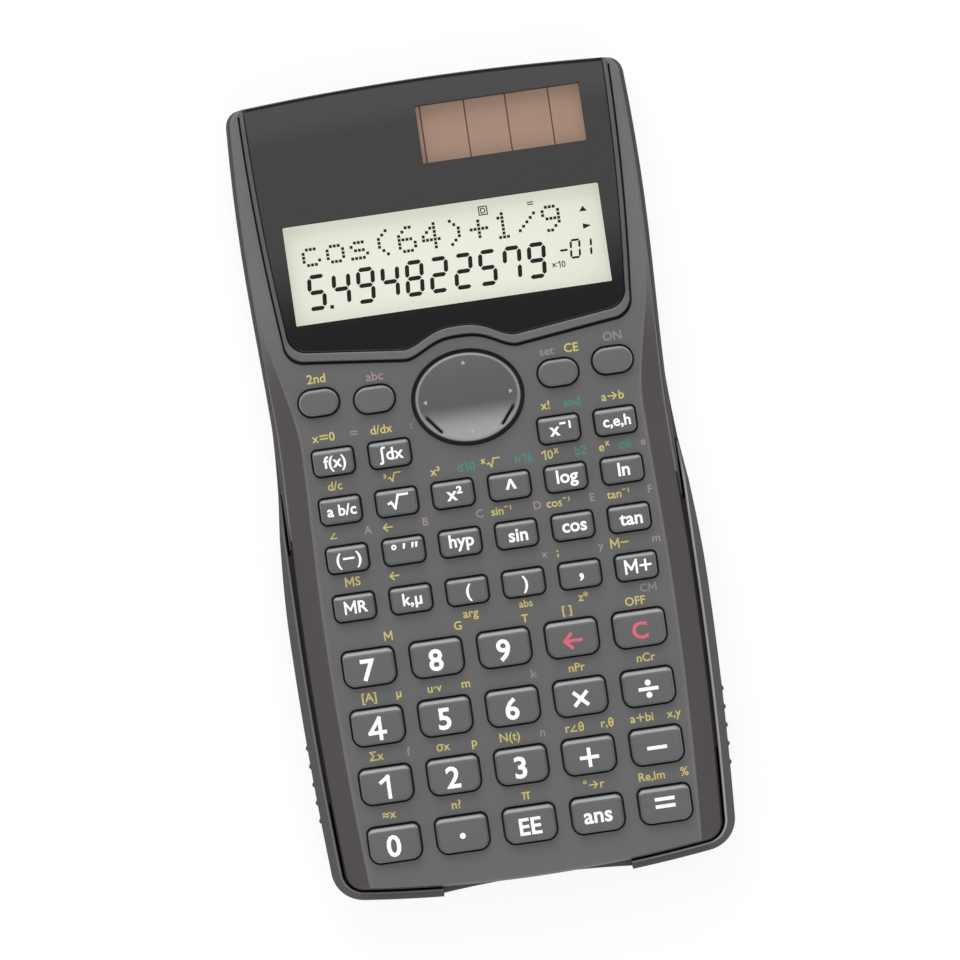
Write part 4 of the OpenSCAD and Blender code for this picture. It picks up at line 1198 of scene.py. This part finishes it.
class CALCULATOR_OT_keys(bpy.types.Operator):
    """Keys with a flange, a dished top, a wide upper bevel and their marks"""
    bl_idname = "calculator.keys"
    bl_label = "Keys"

    def execute(self, context):
        looks = context.scene.calculator_keys
        inks = context.scene.calculator_prints
        top = corners("key_5")[1][2]
        oval_top = corners("key_on")[1][2]
        # Each kind of key has a plain satin finish and a lighter copy for the upper bevel: painted
        # highlight
        plain = [self.satin("satin key", looks.key, top, 1.9),
                 self.satin("brow with painted highlight", looks.key, top, 2.7)]
        oval = [self.satin("satin oval key", looks.oval, oval_top, 2.2),
                self.satin("oval brow with painted highlight", looks.oval, oval_top, 2.7)]
        white = print_ink("white mark", inks.white)
        red = print_ink("red mark", inks.red)
        for node in KEY_NODES:
            kind = key_kind(node)
            ink = red if node in RED_KEYS else white
            flat, brow = oval if kind == "oval" else plain
            finishes = [flat, ink, brow, silicone()]
            piece = self.cap(node, kind, looks).build(node.replace("key_", "cap_"), finishes, node, 32)
            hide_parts(node)
        return {"FINISHED"}

    def satin(self, name, colour, top, highlight_factor):
        """Satin plastic with painted shade down the sides and a painted highlight band round the top."""
        finish = Finish(name, 0.4)
        at, *_, z = finish.place()
        fine = finish.noise(at, 2800.0, 2.0)
        clouds = finish.noise(at, 90.0, 3.0)
        flat = finish.mottled(clouds * 0.7 + fine * 0.3, colour, 0.92, 1.08)
        # Painted shade down the sides, and a painted highlight band round the top edge
        side = z.ramp((top - 0.75) * MM, (top - 0.5) * MM)
        band = z.ramp((top - 0.5) * MM, (top - 0.36) * MM)
        band = band * (1 - z.ramp((top - 0.17) * MM, (top - 0.1) * MM))
        flat = finish.mix(band, flat, shade(colour, highlight_factor))
        finish.colour(finish.mix(side, shade(colour, 0.25), flat))
        finish.rough(0.36 + fine * 0.1 - band * 0.08)
        finish.bump(fine, 3e-6)
        return finish.material

    def cap(self, node, kind, looks):
        """Profile carried along the key's outline, from the stem's foot to the middle of the dished top."""
        low, high = corners(node)
        mid = (low + high)[:2] / 2
        width, depth, r_high, r_low = KEY_SIZE[kind]
        base = cap_loop(width, depth, r_high, r_low)
        top = high[2]
        flange = low[2] + STEM_H
        stem = base / np.linalg.norm(base, axis=1)[:, None] * STEM_R
        upper = np.clip((base[:, 1] - (depth / 2 - r_high)) / r_high, 0, 1)
        brow = looks.brow / MM * BROW_SHARE[kind]
        dish = looks.dish / MM

        def loop(grow, push=0.0):
            flat = cap_loop(width + 2 * grow, depth + 2 * grow, max(r_high + grow, 0.1),
                            max(r_low + grow, 0.1))
            flat[:, 1] -= upper * brow * push
            return flat + mid

        wide = loop(FLANGE_OUT)
        rows = [(mid + 0 * base, low[2]), (mid + stem, low[2]), (mid + stem, flange), (wide, flange),
                (wide, flange + FLANGE_H), (loop(-0.03), flange + FLANGE_H)]
        rows += [(loop(grow, push), top - drop) for grow, push, drop in CROWN]
        rim = rows[-1][0]
        centre = mid + [0, -brow / 2]
        half = np.abs(rim - centre).max(axis=0)

        def surface(x, y):
            u = (x - centre[0]) / half[0]
            v = (y - centre[1]) / half[1]
            return -dish * (1 - np.clip(u * u, 0, 1)) * (1 - np.clip(v * v, 0, 1))

        for share in (0.96, 0.88, 0.75, 0.55, 0.3, 0.0):
            flat = centre + share * (rim - centre)
            rows.append((flat, top + surface(flat[:, 0], flat[:, 1])))
        skin = Skin()
        finish = np.full((len(rows) - 1, len(base)), SATIN)
        bevel = slice(7, 11)
        # The upper bevel takes the lighter copy: painted highlight
        finish[bevel, (upper > 0.25) & (np.roll(upper, -1) > 0.25)] = BROW_HIGHLIGHT
        skin.strip(rows, finish)
        skin.post(mid, PLUNGER, Z_PLUNGER, low[2] - PLUNGER_GAP, slot=RUBBER)
        if node in KEY_MARKS:
            body, size = KEY_MARKS[node]
            place = centre + MARK_SHIFT[kind] - [0, MARK_DROP.get(node, 0.0)]
            if body.isdigit():
                place = place - [FIGURE_LEFT, 0]
            skin.text(body, size, place, top - 0.06, top + 0.02, INK, bold=0.022, surface=surface)
        return skin


def from_groove(x, y, unit=1.0):
    """How far a place lies from the pad's nearer groove, across it and along it from its middle.

    The place is counted from the pad's middle, and the unit is a millimetre in its measure.
    """
    across = abs(x) * GROOVE_X - y * GROOVE_Y - GROOVE_OUT * unit
    along = abs(abs(x) * GROOVE_Y + y * GROOVE_X - GROOVE_MID * unit)
    return across, along


class CALCULATOR_OT_arrow_pad(bpy.types.Operator):
    """Rocking arrow pad: a dished oval with two short grooves and four small arrows"""
    bl_idname = "calculator.arrow_pad"
    bl_label = "Arrow pad"

    def execute(self, context):
        looks = context.scene.calculator_keys
        mid = PAD_MID[:2]
        base = PAD_LOW[2]
        top = PAD_HIGH[2]
        skin = Skin()

        def loop(grow):
            return ellipse_loop(PAD_W + 2 * grow, PAD_H + 2 * grow) + mid

        def surface(flat):
            """Hollow that rises again below the middle, with a short groove across each lower corner."""
            x, y = (flat - mid).T
            r = np.hypot(x / (PAD_W / 2), y / (PAD_H / 2))
            hollow = -0.55 * (1 - np.clip(r, 0, 1) ** 2.2)
            swell = 0.3 * smooth((-y - 0.8) / 4.2) * (1 - smooth((r - 0.8) / 0.15))
            across, along = from_groove(x, y)
            groove = -0.8 * np.exp(-(across / 0.27) ** 2) * smooth((2.4 - along) / 0.5)
            return top + hollow + swell + groove

        rows = [(mid + 0 * loop(0), base), (loop(1.3), base), (loop(1.3), base + 0.5),
                (loop(0), base + 0.5)]
        rows += [(loop(grow), top - drop) for grow, drop in PAD_CROWN]
        for share in np.concatenate([np.linspace(0.945, 0.75, 60), np.linspace(0.74, 0.0, 20)]):
            flat = mid + share * (loop(0) - mid)
            rows.append((flat, surface(flat)))
        skin.strip(rows)
        arrow = np.array([[-0.45, -0.35], [0.45, -0.35], [0.0, 0.4]])
        for turn in range(4):
            c, s = round(math.cos(turn * math.pi / 2)), round(math.sin(turn * math.pi / 2))
            spot = mid + np.array([[-s * (PAD_W / 2 - 1.9), c * (PAD_H / 2 - 1.9)]])
            shape = arrow @ np.array([[c, s], [-s, c]]) + spot
            height = surface(shape).max()
            skin.boxes(shape[None], height - 0.2, height + 0.02, PAD_INK)
        for place in PAD_POSTS:
            skin.post(place, PLUNGER, Z_PLUNGER, base - PLUNGER_GAP, slot=PAD_RUBBER)
        finish = self.silver(looks.pad, top)
        mark = print_ink("grey mark", (0.35, 0.35, 0.36))
        piece = skin.build("rocking_pad", [finish, mark, silicone()], "pad", 30)
        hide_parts("arrow_pad")
        return {"FINISHED"}

    def silver(self, colour, top):
        """Satin lacquer with painted light: a painted highlight over its lower third and round its upper
        edge, painted shade in the grooves and down the sides.
        """
        finish = Finish("satin pad", 0.3)
        at, x, y, z = finish.place()
        fine = finish.noise(at, 2600.0, 2.0)
        x = x - PAD_MID[0] * MM
        y = y - PAD_MID[1] * MM
        wide = x * (1 / (PAD_W / 2 * MM))
        high = y * (1 / (PAD_H / 2 * MM))
        edge = (wide * wide + high * high).ramp(0.84, 0.93)
        # Painted highlight: paler over the lower third
        pale = (0 - high).ramp(0.12, 0.75)
        flat = finish.mottled(fine, colour, 0.93, 1.07)
        flat = finish.mix(pale, flat, shade(colour, 3.7))
        # Painted highlight round the upper edge
        flat = finish.mix(edge * 0.8, flat, shade(colour, 3.5))
        across, along = from_groove(x, y, MM)
        # Painted shade in the grooves
        groove = (1 - abs(across).ramp(0.18 * MM, 0.34 * MM)) * (1 - along.ramp(1.9 * MM, 2.3 * MM))
        flat = finish.mix(groove, flat, shade(colour, 0.2))
        # Painted shade down the sides
        side = z.ramp((top - 0.5) * MM, (top - 0.25) * MM)
        dark = finish.mix(edge * (1 - side), flat, shade(colour, 0.15))
        finish.colour(dark)
        finish.rough(0.27 + fine * 0.08)
        finish.bump(fine, 2e-6)
        return finish.material


# Marks on the face: ink, text, size, place across and height above the middle of a named key
FACE_MARKS = [
    ("yellow", "2nd", 2.5, "key_shift", 0.1, 4.7), ("pink", "abc", 2.5, "key_alpha", 0.6, 4.5),
    ("grey", "set", 2.4, "key_mode", -1.6, 4.5), ("yellow", "CE", 2.4, "key_mode", 3.2, 4.5),
    ("grey", "ON", 2.4, "key_on", 0.6, 4.7),
    ("yellow", "x=0", 2.4, "key_calculate", -1.3, 5.0), ("pink", "=", 2.2, "key_calculate", 4.7, 5.0),
    ("yellow", "d/dx", 2.4, "key_integral", -1.0, 5.0), ("pink", ":", 2.2, "key_integral", 4.9, 5.0),
    ("yellow", "x!", 2.4, "key_reciprocal", -2.0, 5.0), ("teal", "and", 2.4, "key_reciprocal", 3.2, 5.0),
    ("yellow", "a→b", 2.4, "key_constant", 0.2, 5.0),
    ("yellow", "d/c", 2.4, "key_fraction", -0.4, 4.9), ("yellow", "³√", 2.3, "key_root", -0.2, 4.9),
    ("yellow", "x³", 2.4, "key_square", -2.9, 4.9), ("teal", "d10", 2.4, "key_square", 3.2, 4.9),
    ("yellow", "ˣ√", 2.3, "key_power", -3.0, 4.9), ("teal", "h16", 2.4, "key_power", 3.5, 4.9),
    ("yellow", "10ˣ", 2.4, "key_log", -2.4, 4.9), ("teal", "b2", 2.4, "key_log", 3.6, 4.9),
    ("yellow", "eˣ", 2.4, "key_natural_log", -2.8, 4.9), ("teal", "o8", 2.4, "key_natural_log", 1.3, 4.9),
    ("pink", "e", 2.2, "key_natural_log", 4.8, 4.9),
    ("yellow", "∠", 2.3, "key_negative", -2.1, 5.0), ("pink", "A", 2.2, "key_negative", 4.7, 5.0),
    ("yellow", "←", 2.6, "key_degrees", -2.5, 5.0), ("pink", "B", 2.2, "key_degrees", 4.9, 5.0),
    ("pink", "C", 2.2, "key_hyperbolic", 4.5, 5.0),
    ("yellow", "sin⁻¹", 2.3, "key_sine", -2.3, 5.0), ("pink", "D", 2.2, "key_sine", 4.8, 5.0),
    ("yellow", "cos⁻¹", 2.3, "key_cosine", -2.2, 5.0), ("pink", "E", 2.2, "key_cosine", 4.5, 5.0),
    ("yellow", "tan⁻¹", 2.3, "key_tangent", -1.5, 5.0), ("pink", "F", 2.2, "key_tangent", 4.8, 5.0),
    ("yellow", "MS", 2.4, "key_recall", 0.3, 5.0), ("yellow", "←", 2.6, "key_engineering", -2.6, 5.0),
    ("pink", "x", 2.2, "key_close_bracket", 4.8, 5.0), ("yellow", ";", 2.4, "key_comma", -3.7, 5.0),
    ("pink", "y", 2.2, "key_comma", 4.8, 5.0), ("yellow", "M−", 2.4, "key_memory", -2.6, 5.0),
    ("pink", "m", 2.3, "key_memory", 4.6, 5.0),
    ("yellow", "arg", 2.4, "key_open_bracket", 0.0, -4.3),
    ("yellow", "abs", 2.1, "key_close_bracket", -0.2, -4.0),
    ("yellow", "z*", 2.4, "key_comma", 0.0, -4.3), ("grey", "CM", 2.2, "key_memory", 1.7, -4.3),
    ("yellow", "M", 2.3, "key_7", 4.5, 5.6), ("yellow", "G", 2.3, "key_8", 4.9, 5.6),
    ("yellow", "T", 2.2, "key_9", 4.75, 5.1), ("yellow", "[ ]", 2.3, "key_delete", -0.2, 5.6),
    ("yellow", "OFF", 2.3, "key_all_clear", -0.1, 5.4),
    ("yellow", "[A]", 2.4, "key_4", -0.9, 5.8), ("yellow", "µ", 2.4, "key_4", 4.9, 5.8),
    ("yellow", "u·v", 2.4, "key_5", -1.3, 5.8), ("yellow", "m", 2.4, "key_5", 4.8, 5.8),
    ("grey", "k", 2.4, "key_6", 4.95, 5.8), ("yellow", "nPr", 2.3, "key_times", 0.1, 5.8),
    ("yellow", "nCr", 2.3, "key_divide", 0.4, 5.8),
    ("yellow", "Σx", 2.4, "key_1", -1.1, 5.8), ("grey", "f", 2.4, "key_1", 5.2, 5.8),
    ("yellow", "σx", 2.4, "key_2", -1.3, 5.8), ("yellow", "p", 2.4, "key_2", 4.8, 5.8),
    ("yellow", "N(t)", 2.4, "key_3", -1.5, 5.8), ("grey", "n", 2.4, "key_3", 4.95, 5.8),
    ("yellow", "r∠θ", 2.4, "key_plus", -2.0, 5.8), ("yellow", "r,θ", 2.3, "key_plus", 4.4, 5.8),
    ("yellow", "a+bi", 2.4, "key_minus", -2.1, 5.8), ("yellow", "x,y", 2.3, "key_minus", 4.2, 5.8),
    ("yellow", "≈x", 2.4, "key_0", -0.3, 5.8), ("yellow", "n?", 2.4, "key_point", -0.4, 5.8),
    ("yellow", "π", 2.6, "key_exp", 0.0, 5.8), ("yellow", "°→r", 2.4, "key_ans", 0.1, 5.8),
    ("yellow", "Re,Im", 2.3, "key_equals", -1.8, 5.8), ("yellow", "%", 2.4, "key_equals", 4.6, 5.8),
]


class CALCULATOR_OT_face_print(bpy.types.Operator):
    """Small marks printed on the keypad face, one piece for each ink"""
    bl_idname = "calculator.face_print"
    bl_label = "Face print"

    def execute(self, context):
        inks = context.scene.calculator_prints
        for ink in ("yellow", "pink", "teal", "grey"):
            skin = Skin()
            for colour, body, size, node, across, up in FACE_MARKS:
                if colour == ink:
                    mid = sum(corners(node)) / 2
                    skin.text(body, size, mid[:2] + [across, up], Z_FACE - 0.03, Z_FACE + 0.012, bold=0.014)
            finish = print_ink(ink + " print", getattr(inks, ink))
            piece = skin.build("face_print_" + ink, [finish], "calculator")
        return {"FINISHED"}


# Finishes of the cover, in the order of its materials: grained plastic, painted shade on the inner wall and
# rails, and a painted highlight along the rim
GRAINED, SHADED, RIM_HIGHLIGHT = range(3)


class CALCULATOR_OT_cover(bpy.types.Operator):
    """Slide-on cover: a tray with walls that step down, a thumb notch, grip ribs and rails"""
    bl_idname = "calculator.cover"
    bl_label = "Slide-on cover"

    def execute(self, context):
        looks = context.scene.calculator_shell
        top = COVER_HIGH[2]
        skin = Skin()
        y = self.outline(-COVER_OUT, COVER)[:, 1]
        wall = top + (COVER_FLOOR - top) * np.clip((y - Y_COVERED) / COVER_RAMP, 0, 1)
        wall[:NOTCH_STEPS] = COVER_FLOOR
        wall[1 - NOTCH_STEPS:] = COVER_FLOOR
        tall = wall > COVER_FLOOR + 0.6
        rows = []
        for inset, up, flat in [(1.6, 0.0, 0.0), (1.0, 0.12, 0.12), (0.5, 0.5, 0.42), (0.15, 1.1, 0.8)]:
            rows.append((self.outline(inset - COVER_OUT, COVER), np.where(tall, up, flat)))
        rows.append((self.outline(-COVER_OUT, COVER), np.where(tall, 2.0, 1.2)))
        for inset, down in [(0.0, 0.4), (0.06, 0.13), (0.22, 0.0)]:
            rows.append((self.outline(inset - COVER_OUT, COVER), np.where(tall, wall, COVER_FLOOR) - down))
        for inset, flat, down in [(0.5, 0.26, 0.0), (0.22, 0.3, 0.0), (0.06, 0.4, 0.13), (0.0, 0.5, 0.4)]:
            rows.append((self.inner(tall, inset, flat), np.where(tall, wall - down, COVER_FLOOR)))
        for inset, flat, up in [(0.0, 0.6, 0.5), (-0.15, 0.7, 0.15), (-0.5, 1.0, 0.0), (-1.6, 2.1, 0.0)]:
            rows.append((self.inner(tall, inset, flat), np.where(tall, COVER_FLOOR + up, COVER_FLOOR)))
        finish = np.full((len(rows) - 1, len(y)), GRAINED)
        upright = tall & np.roll(tall, -1)
        rim_start, rim_stop = 8, 10
        # Painted highlight along the inner edge of the rim, painted shade down the inner wall
        finish[rim_start:rim_stop, upright] = RIM_HIGHLIGHT
        finish[rim_stop:-1, upright] = SHADED
        skin.strip(rows, finish)
        skin.plate(rows[0][0], [], 0.0)
        skin.plate(rows[-1][0], [], COVER_FLOOR)
        for side in (-1, 1):
            for i in range(RIB_COUNT):
                y = Y_RIB - RIB_STEP * i
                place = np.array([side * (side_x(y, COVER) + COVER_OUT - 0.25), y])
                skin.post(place, RIB_R, 2.4, top - 0.8, 0.3)
            inner, outer = WAIST - RAIL_IN, WAIST + COVER_GAP + 1.025
            centre = np.array([(inner + outer) / 2 * side, Y_RAIL])
            loop = rectangle_loop(centre, outer - inner, RAIL_LENGTH)
            z0, z1 = Z_SPLIT - 0.95, Z_SPLIT - 0.25
            # Rails: painted shade
            skin.strip([(centre + 0 * loop, z0), (loop, z0), (loop, z1), (centre + 0 * loop, z1)], SHADED)
        finishes = [moulded_plastic("grained cover", looks.cover, 0.5, 1500.0, 1.6e-5),
                    moulded_plastic("shaded inner wall", shade(looks.cover, 0.2), 0.7, 1500.0, 8e-6),
                    # Lighter copy of the cover colour, lighter still towards the sides: painted highlight
                    moulded_plastic("rim with painted highlight", shade(looks.cover, 2.2), 0.4, 1500.0, 6e-6,
                                    fade=("x", 0.0, 30.0, 2.4))]
        piece = skin.build("cover_tray", finishes, "cover")
        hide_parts("slide_cover")
        return {"FINISHED"}

    def outline(self, inset, form):
        """Closed outline of the cover's wall in one form, with a fixed number of points.

        The right half runs over half of the notch, along the end, round the corner and up the side to
        the open end. The notch's end is doubled, so that the wall starts there with an upright edge.
        """
        half = body_loop(inset, form)[:32]
        x = np.concatenate([np.linspace(0, NOTCH, NOTCH_STEPS), np.linspace(NOTCH, half[15, 0], 8)[:-1]])
        y = np.interp(x, half[:16, 0], half[:16, 1])
        if form == COVER:
            depth = NOTCH_DEPTH * (1 - (x[:NOTCH_STEPS] / NOTCH) ** 2)
            hollow = COVER_LOW[1] + depth + inset + COVER_OUT
            y[:NOTCH_STEPS] = np.maximum(y[:NOTCH_STEPS], hollow)
        end = COVER_HIGH[1] - max(0.0, inset + COVER_OUT)
        flat = Y_COVERED + COVER_RAMP
        stops = np.concatenate([np.linspace(half[-1, 1], Y_COVERED, 24)[1:],
                                np.linspace(Y_COVERED, flat, 12)[1:], np.linspace(flat, end, 24)[1:]])
        side = np.stack([side_x(stops, form) - inset, stops], -1)
        close = np.stack([np.linspace(side[-1, 0], 0, 8)[1:], np.full(7, end)], -1)
        return mirrored(np.concatenate([np.stack([x, y], -1), half[15:], side, close]))

    def inner(self, tall, inset, flat):
        """Inner face of the wall where there is one, and elsewhere the outline moved inwards by flat."""
        wall = self.outline(-COVER_GAP - inset, INSIDE)
        edge = self.outline(flat - COVER_OUT, COVER)
        return np.where(tall[:, None], wall, edge)


class CALCULATOR_OT_rubber_sheet(bpy.types.Operator):
    """Rubber sheet under the keys: a web with a collar round each plunger, which moves with its key"""
    bl_idname = "calculator.rubber_sheet"
    bl_label = "Rubber sheet"

    def execute(self, context):
        floor = RUBBER_LOW[2] + 0.02
        y = np.linspace(Y_RUBBER, RUBBER_HIGH[1], 40)
        x = side_x(y, INSIDE) - (WAIST - RUBBER_HIGH[0])
        outer = np.concatenate([np.stack([x, y], -1), np.stack([-x, y], -1)[::-1]])
        keys = np.array([(sum(corners(node)) / 2)[:2] for node in KEY_NODES])
        places = np.concatenate([keys, PAD_POSTS])
        circle = ellipse_loop(2.0, 2.0, 24)
        holes = [circle * PIN_R + pin for pin in RUBBER_PINS]
        skin = Skin()
        skin.plate(outer, holes + [circle * COLLAR_OUT + place for place in places], Z_WEB)
        skin.plate(outer, holes + [circle * COLLAR_IN + place for place in places], floor)
        for loop in [outer] + holes:
            skin.strip([(loop, floor), (loop, Z_WEB)])
        collar = [(COLLAR_IN, floor), (COLLAR_IN, Z_WEB + 0.35), (2.25, Z_WEB + 0.4), (2.6, Z_WEB + 0.4),
                  (2.75, Z_WEB + 0.3), (COLLAR_OUT, Z_WEB)]
        for place in places:
            skin.strip([(circle * radius + place, height) for radius, height in collar])
        piece = skin.build("rubber_sheet", [silicone()], "calculator")
        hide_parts("rubber_keypad")
        return {"FINISHED"}


class CALCULATOR_OT_inner_parts(bpy.types.Operator):
    """Finishes of the pieces whose solids are shown as they are"""
    bl_idname = "calculator.inner_parts"
    bl_label = "Inner parts"

    def execute(self, context):
        looks = context.scene.calculator_shell
        finishes = {
            # Lighter at the top of its rim, next to the split: painted highlight
            "rear_case": moulded_plastic("grained rear shell", looks.rear, 0.5, 1600.0, 1.2e-5,
                                         fade=("z", Z_SPLIT - 0.8, Z_SPLIT - 0.4, 1.2)),
            "circuit_board": self.board(),
            "elastomer_strips": self.strips(),
            "button_cell": self.metal("cell steel", (0.6, 0.6, 0.6), 0.28),
            "battery_contacts": self.metal("plated contact", (0.6, 0.45, 0.18), 0.3),
            "case_screws": self.metal("zinc plated screw", (0.5, 0.5, 0.5), 0.32),
            "arrow_pivot": moulded_plastic("pivot plastic", (0.4, 0.4, 0.4), 0.45, 1800.0, 3e-6),
        }
        for node, material in finishes.items():
            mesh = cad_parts[node].data
            mesh.materials.clear()
            mesh.materials.append(material)
        return {"FINISHED"}

    def metal(self, name, colour, roughness):
        """Rolled metal with fine drawn lines and a little tarnish."""
        finish = Finish(name, roughness, Metallic=1.0)
        at = finish.place()[0]
        lines = finish.noise(at, 900.0, 2.0, (1.0, 14.0, 1.0))
        tarnish = finish.noise(at, 220.0, 3.0)
        finish.colour(finish.mottled(tarnish, colour, 0.82, 1.1))
        finish.rough(roughness - 0.06 + lines * 0.12)
        finish.bump(lines, 3e-6)
        return finish.material

    def board(self):
        """Green lacquer over copper tracks."""
        finish = Finish("green lacquer", 0.35, Coat_Weight=0.3)
        at = finish.place()[0]
        black = (0.0, 0.0, 0.0)
        bricks = {"Vector": at, "Scale": 180.0, "Mortar Size": 0.06, "Color1": black, "Color2": black,
                  "Mortar": (1.0, 1.0, 1.0)}
        tracks = finish.node("ShaderNodeTexBrick", inputs=bricks, output=1)
        weave = finish.noise(at, 1400.0, 2.0)
        base = finish.mix(weave, (0.015, 0.1, 0.035), (0.025, 0.14, 0.05))
        finish.colour(finish.mix(tracks * 0.8, base, (0.06, 0.2, 0.06)))
        finish.rough(0.3 + weave * 0.12)
        finish.bump(tracks, 2e-5)
        return finish.material

    def strips(self):
        """Conductive rubber in thin dark and pale layers."""
        finish = Finish("layered rubber", 0.7)
        at = finish.place()[0]
        layers = finish.node("ShaderNodeTexWave", {"bands_direction": "X"},
                             {"Vector": at, "Scale": 900.0, "Distortion": 0.4}, output=1)
        finish.colour(finish.mix(layers, (0.03, 0.03, 0.033), (0.1, 0.1, 0.11)))
        finish.rough(0.62 + layers * 0.15)
        return finish.material


class CALCULATOR_PT_pieces(bpy.types.Panel):
    """Lists the pieces of the calculator"""
    bl_idname = "CALCULATOR_PT_pieces"
    bl_label = "Pocket calculator"
    bl_space_type = "VIEW_3D"
    bl_region_type = "UI"
    bl_category = "Calculator"

    def draw(self, context):
        for operator in OPERATORS:
            self.layout.operator(operator.bl_idname)
        for name in GROUPS:
            group = getattr(context.scene, name)
            box = self.layout.box()
            for key in group.bl_rna.properties.keys():
                if key not in ("rna_type", "name"):
                    box.prop(group, key)


GROUPS = {"calculator_shell": ShellLooks, "calculator_display": DisplayLooks, "calculator_keys": KeyLooks,
          "calculator_prints": PrintLooks, "calculator_stage": StageLooks}
OPERATORS = (CALCULATOR_OT_stage, CALCULATOR_OT_front_shell, CALCULATOR_OT_window,
             CALCULATOR_OT_liquid_crystal, CALCULATOR_OT_solar, CALCULATOR_OT_keys, CALCULATOR_OT_arrow_pad,
             CALCULATOR_OT_face_print, CALCULATOR_OT_cover, CALCULATOR_OT_rubber_sheet,
             CALCULATOR_OT_inner_parts)


def register():
    for name, group in GROUPS.items():
        bpy.utils.register_class(group)
        setattr(bpy.types.Scene, name, PointerProperty(type=group))
    for operator in OPERATORS:
        bpy.utils.register_class(operator)
    bpy.utils.register_class(CALCULATOR_PT_pieces)


def unregister():
    bpy.utils.unregister_class(CALCULATOR_PT_pieces)
    for operator in reversed(OPERATORS):
        bpy.utils.unregister_class(operator)
    for name, group in GROUPS.items():
        delattr(bpy.types.Scene, name)
        bpy.utils.unregister_class(group)


def main():
    register()
    bpy.ops.calculator.stage()
    bpy.ops.calculator.front_shell()
    bpy.ops.calculator.window()
    bpy.ops.calculator.liquid_crystal()
    bpy.ops.calculator.solar()
    bpy.ops.calculator.keys()
    bpy.ops.calculator.arrow_pad()
    bpy.ops.calculator.face_print()
    bpy.ops.calculator.cover()
    bpy.ops.calculator.rubber_sheet()
    bpy.ops.calculator.inner_parts()


if __name__ == "__main__":
    main()
